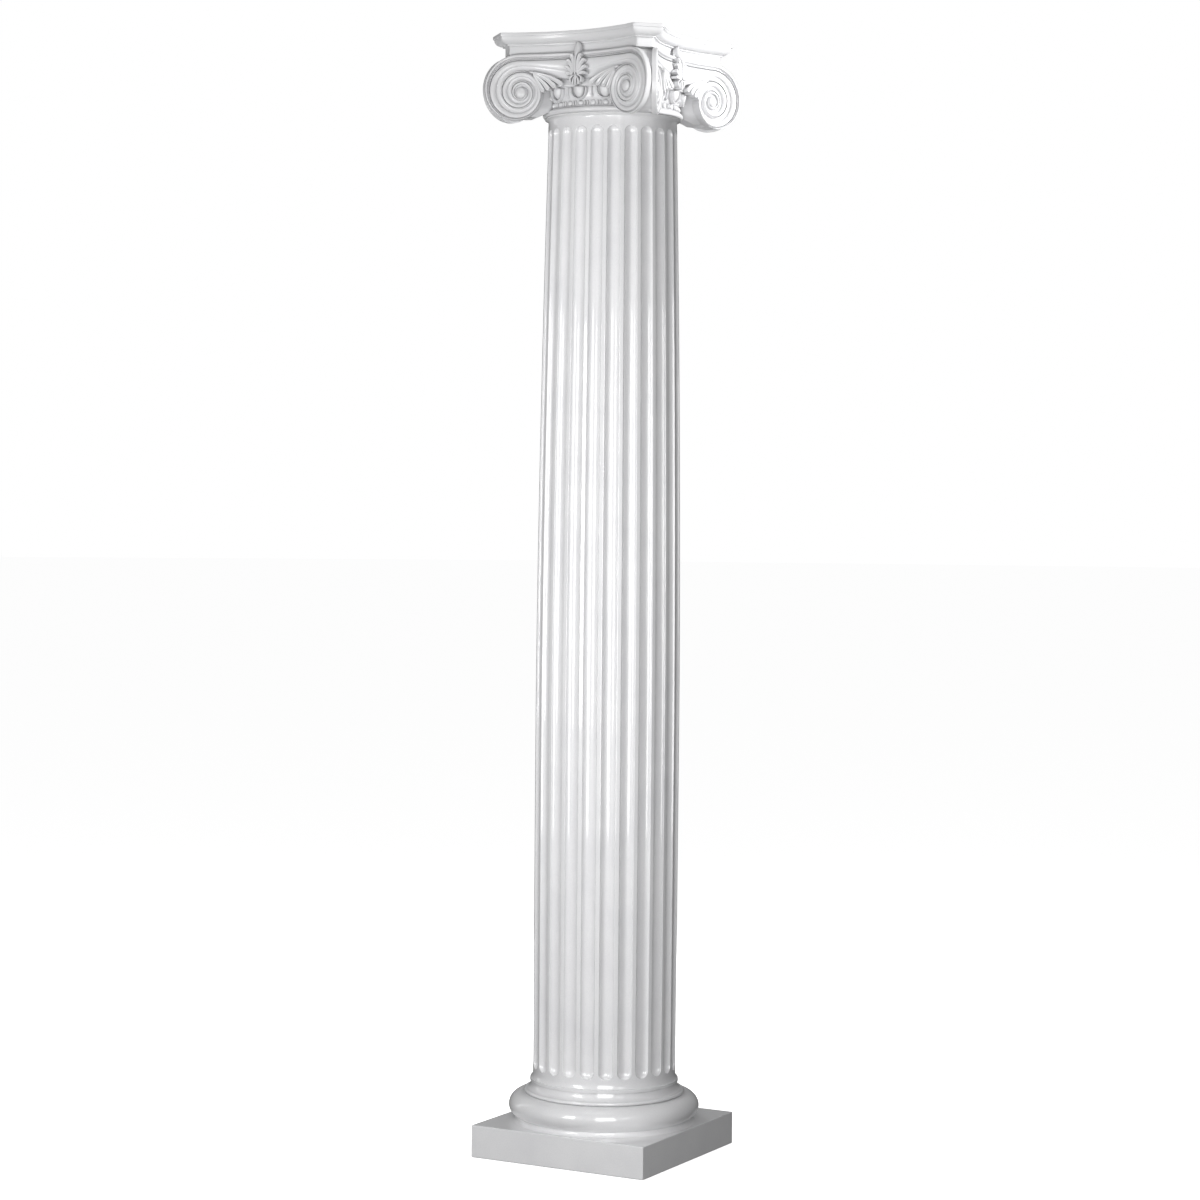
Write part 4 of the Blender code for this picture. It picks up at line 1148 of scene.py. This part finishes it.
class COLUMN_OT_leaves(bpy.types.Operator):
    """Lay a palmette on the middle of each face and a spray beside each volute"""
    bl_idname = "ionic_column.leaves"
    bl_label = "Palmettes and sprays"

    def execute(self, context):
        for name, surfaces in (("palmettes", palmette_surfaces()), ("leaf_sprays", spray_surfaces())):
            make_piece(name, [turned(part, QUARTERS) for part in surfaces], carved_finish(), "capital", 60)
        return {"FINISHED"}


# Stage

CAMERA_AZIMUTH = 28.783      # degrees from the front face towards +X
CAMERA_DISTANCE = 6.474
CAMERA_HEIGHT = 1.4438
CAMERA_YAW = 0.1636          # degrees off the axis
CAMERA_PITCH = -2.0041
CAMERA_ROLL = 0.5235
FOCAL_PIXELS = 2947.6
PICTURE_PIXELS = 1200        # width of the picture that the focal length counts in
SENSOR = 36.0
FLOOR_DROP = 0.0005          # the floor lies this far under the plinth
AMBIENT = 0.11               # strength of the even light from all round


def matrix_of(right, up, back, place):
    """A world matrix from three unit axes and a place."""
    matrix = np.eye(4)
    matrix[:3] = np.stack([right, up, back, place], axis=1)
    return Matrix(matrix.tolist())


def camera_matrix():
    """The camera's place and axes, from its azimuth, yaw, pitch and roll."""
    az, yaw, pitch, roll = np.radians((CAMERA_AZIMUTH, CAMERA_YAW, CAMERA_PITCH, CAMERA_ROLL))
    turn = az + yaw
    forward = np.array([-math.sin(turn) * math.cos(pitch), math.cos(turn) * math.cos(pitch), math.sin(pitch)])
    right = np.cross(forward, (0, 0, 1))
    right /= np.linalg.norm(right)
    up = np.cross(right, forward)
    right, up = right * math.cos(roll) + up * math.sin(roll), up * math.cos(roll) - right * math.sin(roll)
    return matrix_of(right, up, -forward,
                     (CAMERA_DISTANCE * math.sin(az), -CAMERA_DISTANCE * math.cos(az), CAMERA_HEIGHT))


def soft_box(name, azimuth, distance, height, aim_height, width, tall, power):
    """An area light at an azimuth from the camera's side, turned to a height on the axis."""
    data = bpy.data.lights.new(name, "AREA")
    data.shape, data.size, data.size_y, data.energy = "RECTANGLE", width, tall, power
    lamp = bpy.data.objects.new(name, data)
    a = math.radians(CAMERA_AZIMUTH + azimuth)
    place = np.array([math.sin(a) * distance, -math.cos(a) * distance, height])
    z = place - (0, 0, aim_height)
    z /= np.linalg.norm(z)
    x = np.cross((0, 0, 1), z)
    x /= np.linalg.norm(x)
    lamp.matrix_world = matrix_of(x, np.cross(z, x), z, place)
    lamp.visible_camera = False
    bpy.context.scene.collection.objects.link(lamp)
    return lamp


# azimuth from the camera in degrees, distance, height, height aimed at, width, height, watts
BOXES = {"left soft box": (-42, 2.8, 1.40, 1.2, 0.65, 1.3, 32),
         "front soft box": (2, 2.8, 1.25, 1.2, 1.2, 1.7, 43),
         "near right soft box": (27, 2.8, 1.45, 1.2, 0.5, 0.8, 4),
         "left strip": (-125, 3.0, 1.4, 1.3, 0.4, 2.4, 4),
         "top soft box": (-20, 1.0, 5.0, 0.5, 2.0, 2.0, 14)}
BACK_BOXES = {"back left soft box": (-158, 3.0, 1.5, 1.3, 1.2, 2.0, 40),
              "back right soft box": (158, 3.0, 1.5, 1.3, 1.2, 2.0, 40)}
CAPITAL_LAMP = (78, 2.0, 2.7, 2.36, 0.3, 0.3, 54)
CAPITAL_PIECES = ("capital_bell", "bead_row", "eggs_and_darts", "abacus", "volute_bands", "corner_scrolls",
                  "palmettes", "leaf_sprays")


def hang_lights():
    """Boxes at the left, the front and the back, and a lamp that lights the capital alone."""
    for name, values in BOXES.items():
        soft_box(name, *values)
    for name, values in BACK_BOXES.items():
        soft_box(name, *values).visible_glossy = False
    lamp = soft_box("capital lamp", *CAPITAL_LAMP)
    # screens keep this lamp off the shaft and the base
    lit = bpy.data.collections.new("lit by the capital lamp")
    for piece in bpy.context.scene.objects:
        if piece.name in CAPITAL_PIECES:
            lit.objects.link(piece)
    lamp.light_linking.receiver_collection = lit


def paint_world(scene):
    """White behind the object, and a dim even light from all round."""
    world = bpy.data.worlds.new("studio")
    scene.world = world
    world.use_nodes = True
    tree = world.node_tree
    background = tree.nodes["Background"]
    ray = add_node(tree, "ShaderNodeLightPath")
    strength = add_node(tree, "ShaderNodeMapRange", {"Value": ray.outputs["Is Camera Ray"]},
                        To_Min=AMBIENT, To_Max=1.0)
    background.inputs["Color"].default_value = (1, 1, 1, 1)
    tree.links.new(strength.outputs[0], background.inputs["Strength"])
    scene.view_settings.view_transform = "Standard"


class COLUMN_OT_stage(bpy.types.Operator):
    """Lay the studio floor, hang the soft boxes and set up the camera"""
    bl_idname = "ionic_column.stage"
    bl_label = "Studio"

    def execute(self, context):
        scene = context.scene
        a = np.linspace(0, math.tau, 96, endpoint=False)[:, None]
        radius = np.array([0.0, 1.0, 3.0, 8.0, 20.0, 60.0])
        points, quads = skin(about_axis(radius, a, -FLOOR_DROP), True)
        mesh = bpy.data.meshes.new("studio_floor")
        mesh.from_pydata(points, [], quads)
        bm = bmesh.new()
        bm.from_mesh(mesh)
        bmesh.ops.remove_doubles(bm, verts=bm.verts, dist=1e-6)
        bm.to_mesh(mesh)
        bm.free()
        floor = bpy.data.objects.new("studio_floor", mesh)
        material = bpy.data.materials.new("painted studio floor")
        material.use_nodes = True
        shader = material.node_tree.nodes["Principled BSDF"]
        shader.inputs["Base Color"].default_value = (*scene.ionic_column_finish.floor, 1)
        shader.inputs["Roughness"].default_value = 0.75
        shader.inputs["Emission Color"].default_value = (1, 1, 1, 1)
        shader.inputs["Emission Strength"].default_value = 0.88
        floor.visible_diffuse = floor.visible_glossy = False
        mesh.materials.append(material)
        scene.collection.objects.link(floor)
        hang_lights()
        paint_world(scene)
        data = bpy.data.cameras.new("camera")
        data.sensor_width = SENSOR
        data.lens = SENSOR * FOCAL_PIXELS / PICTURE_PIXELS
        data.clip_end = 200
        camera = bpy.data.objects.new("camera", data)
        scene.collection.objects.link(camera)
        camera.matrix_world = camera_matrix()
        scene.camera = camera
        return {"FINISHED"}


PIECES = (COLUMN_OT_base, COLUMN_OT_shaft, COLUMN_OT_bell, COLUMN_OT_beads, COLUMN_OT_eggs, COLUMN_OT_abacus,
          COLUMN_OT_volutes, COLUMN_OT_corners, COLUMN_OT_leaves, COLUMN_OT_stage)


class COLUMN_PT_pieces(bpy.types.Panel):
    """The pieces of the column, in the 3D view's sidebar"""
    bl_idname = "COLUMN_PT_pieces"
    bl_label = "Ionic column"
    bl_space_type = "VIEW_3D"
    bl_region_type = "UI"
    bl_category = "Column"

    def draw(self, context):
        for piece in PIECES:
            self.layout.operator(piece.bl_idname)


GROUPS = {"ionic_column_base": ColumnBaseSizes, "ionic_column_shaft": ColumnShaftSizes,
          "ionic_column_capital": ColumnCapitalSizes, "ionic_column_finish": ColumnFinish}


def register():
    for cls in (*GROUPS.values(), *PIECES, COLUMN_PT_pieces):
        bpy.utils.register_class(cls)
    for name, group in GROUPS.items():
        setattr(bpy.types.Scene, name, PointerProperty(type=group))


def unregister():
    for name in GROUPS:
        delattr(bpy.types.Scene, name)
    for cls in (COLUMN_PT_pieces, *PIECES[::-1], *list(GROUPS.values())[::-1]):
        bpy.utils.unregister_class(cls)


def main():
    register()
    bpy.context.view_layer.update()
    bpy.ops.ionic_column.base()
    bpy.ops.ionic_column.shaft()
    bpy.ops.ionic_column.bell()
    bpy.ops.ionic_column.beads()
    bpy.ops.ionic_column.eggs()
    bpy.ops.ionic_column.abacus()
    bpy.ops.ionic_column.volutes()
    bpy.ops.ionic_column.corners()
    bpy.ops.ionic_column.leaves()
    bpy.ops.ionic_column.stage()


if __name__ == "__main__":
    main()
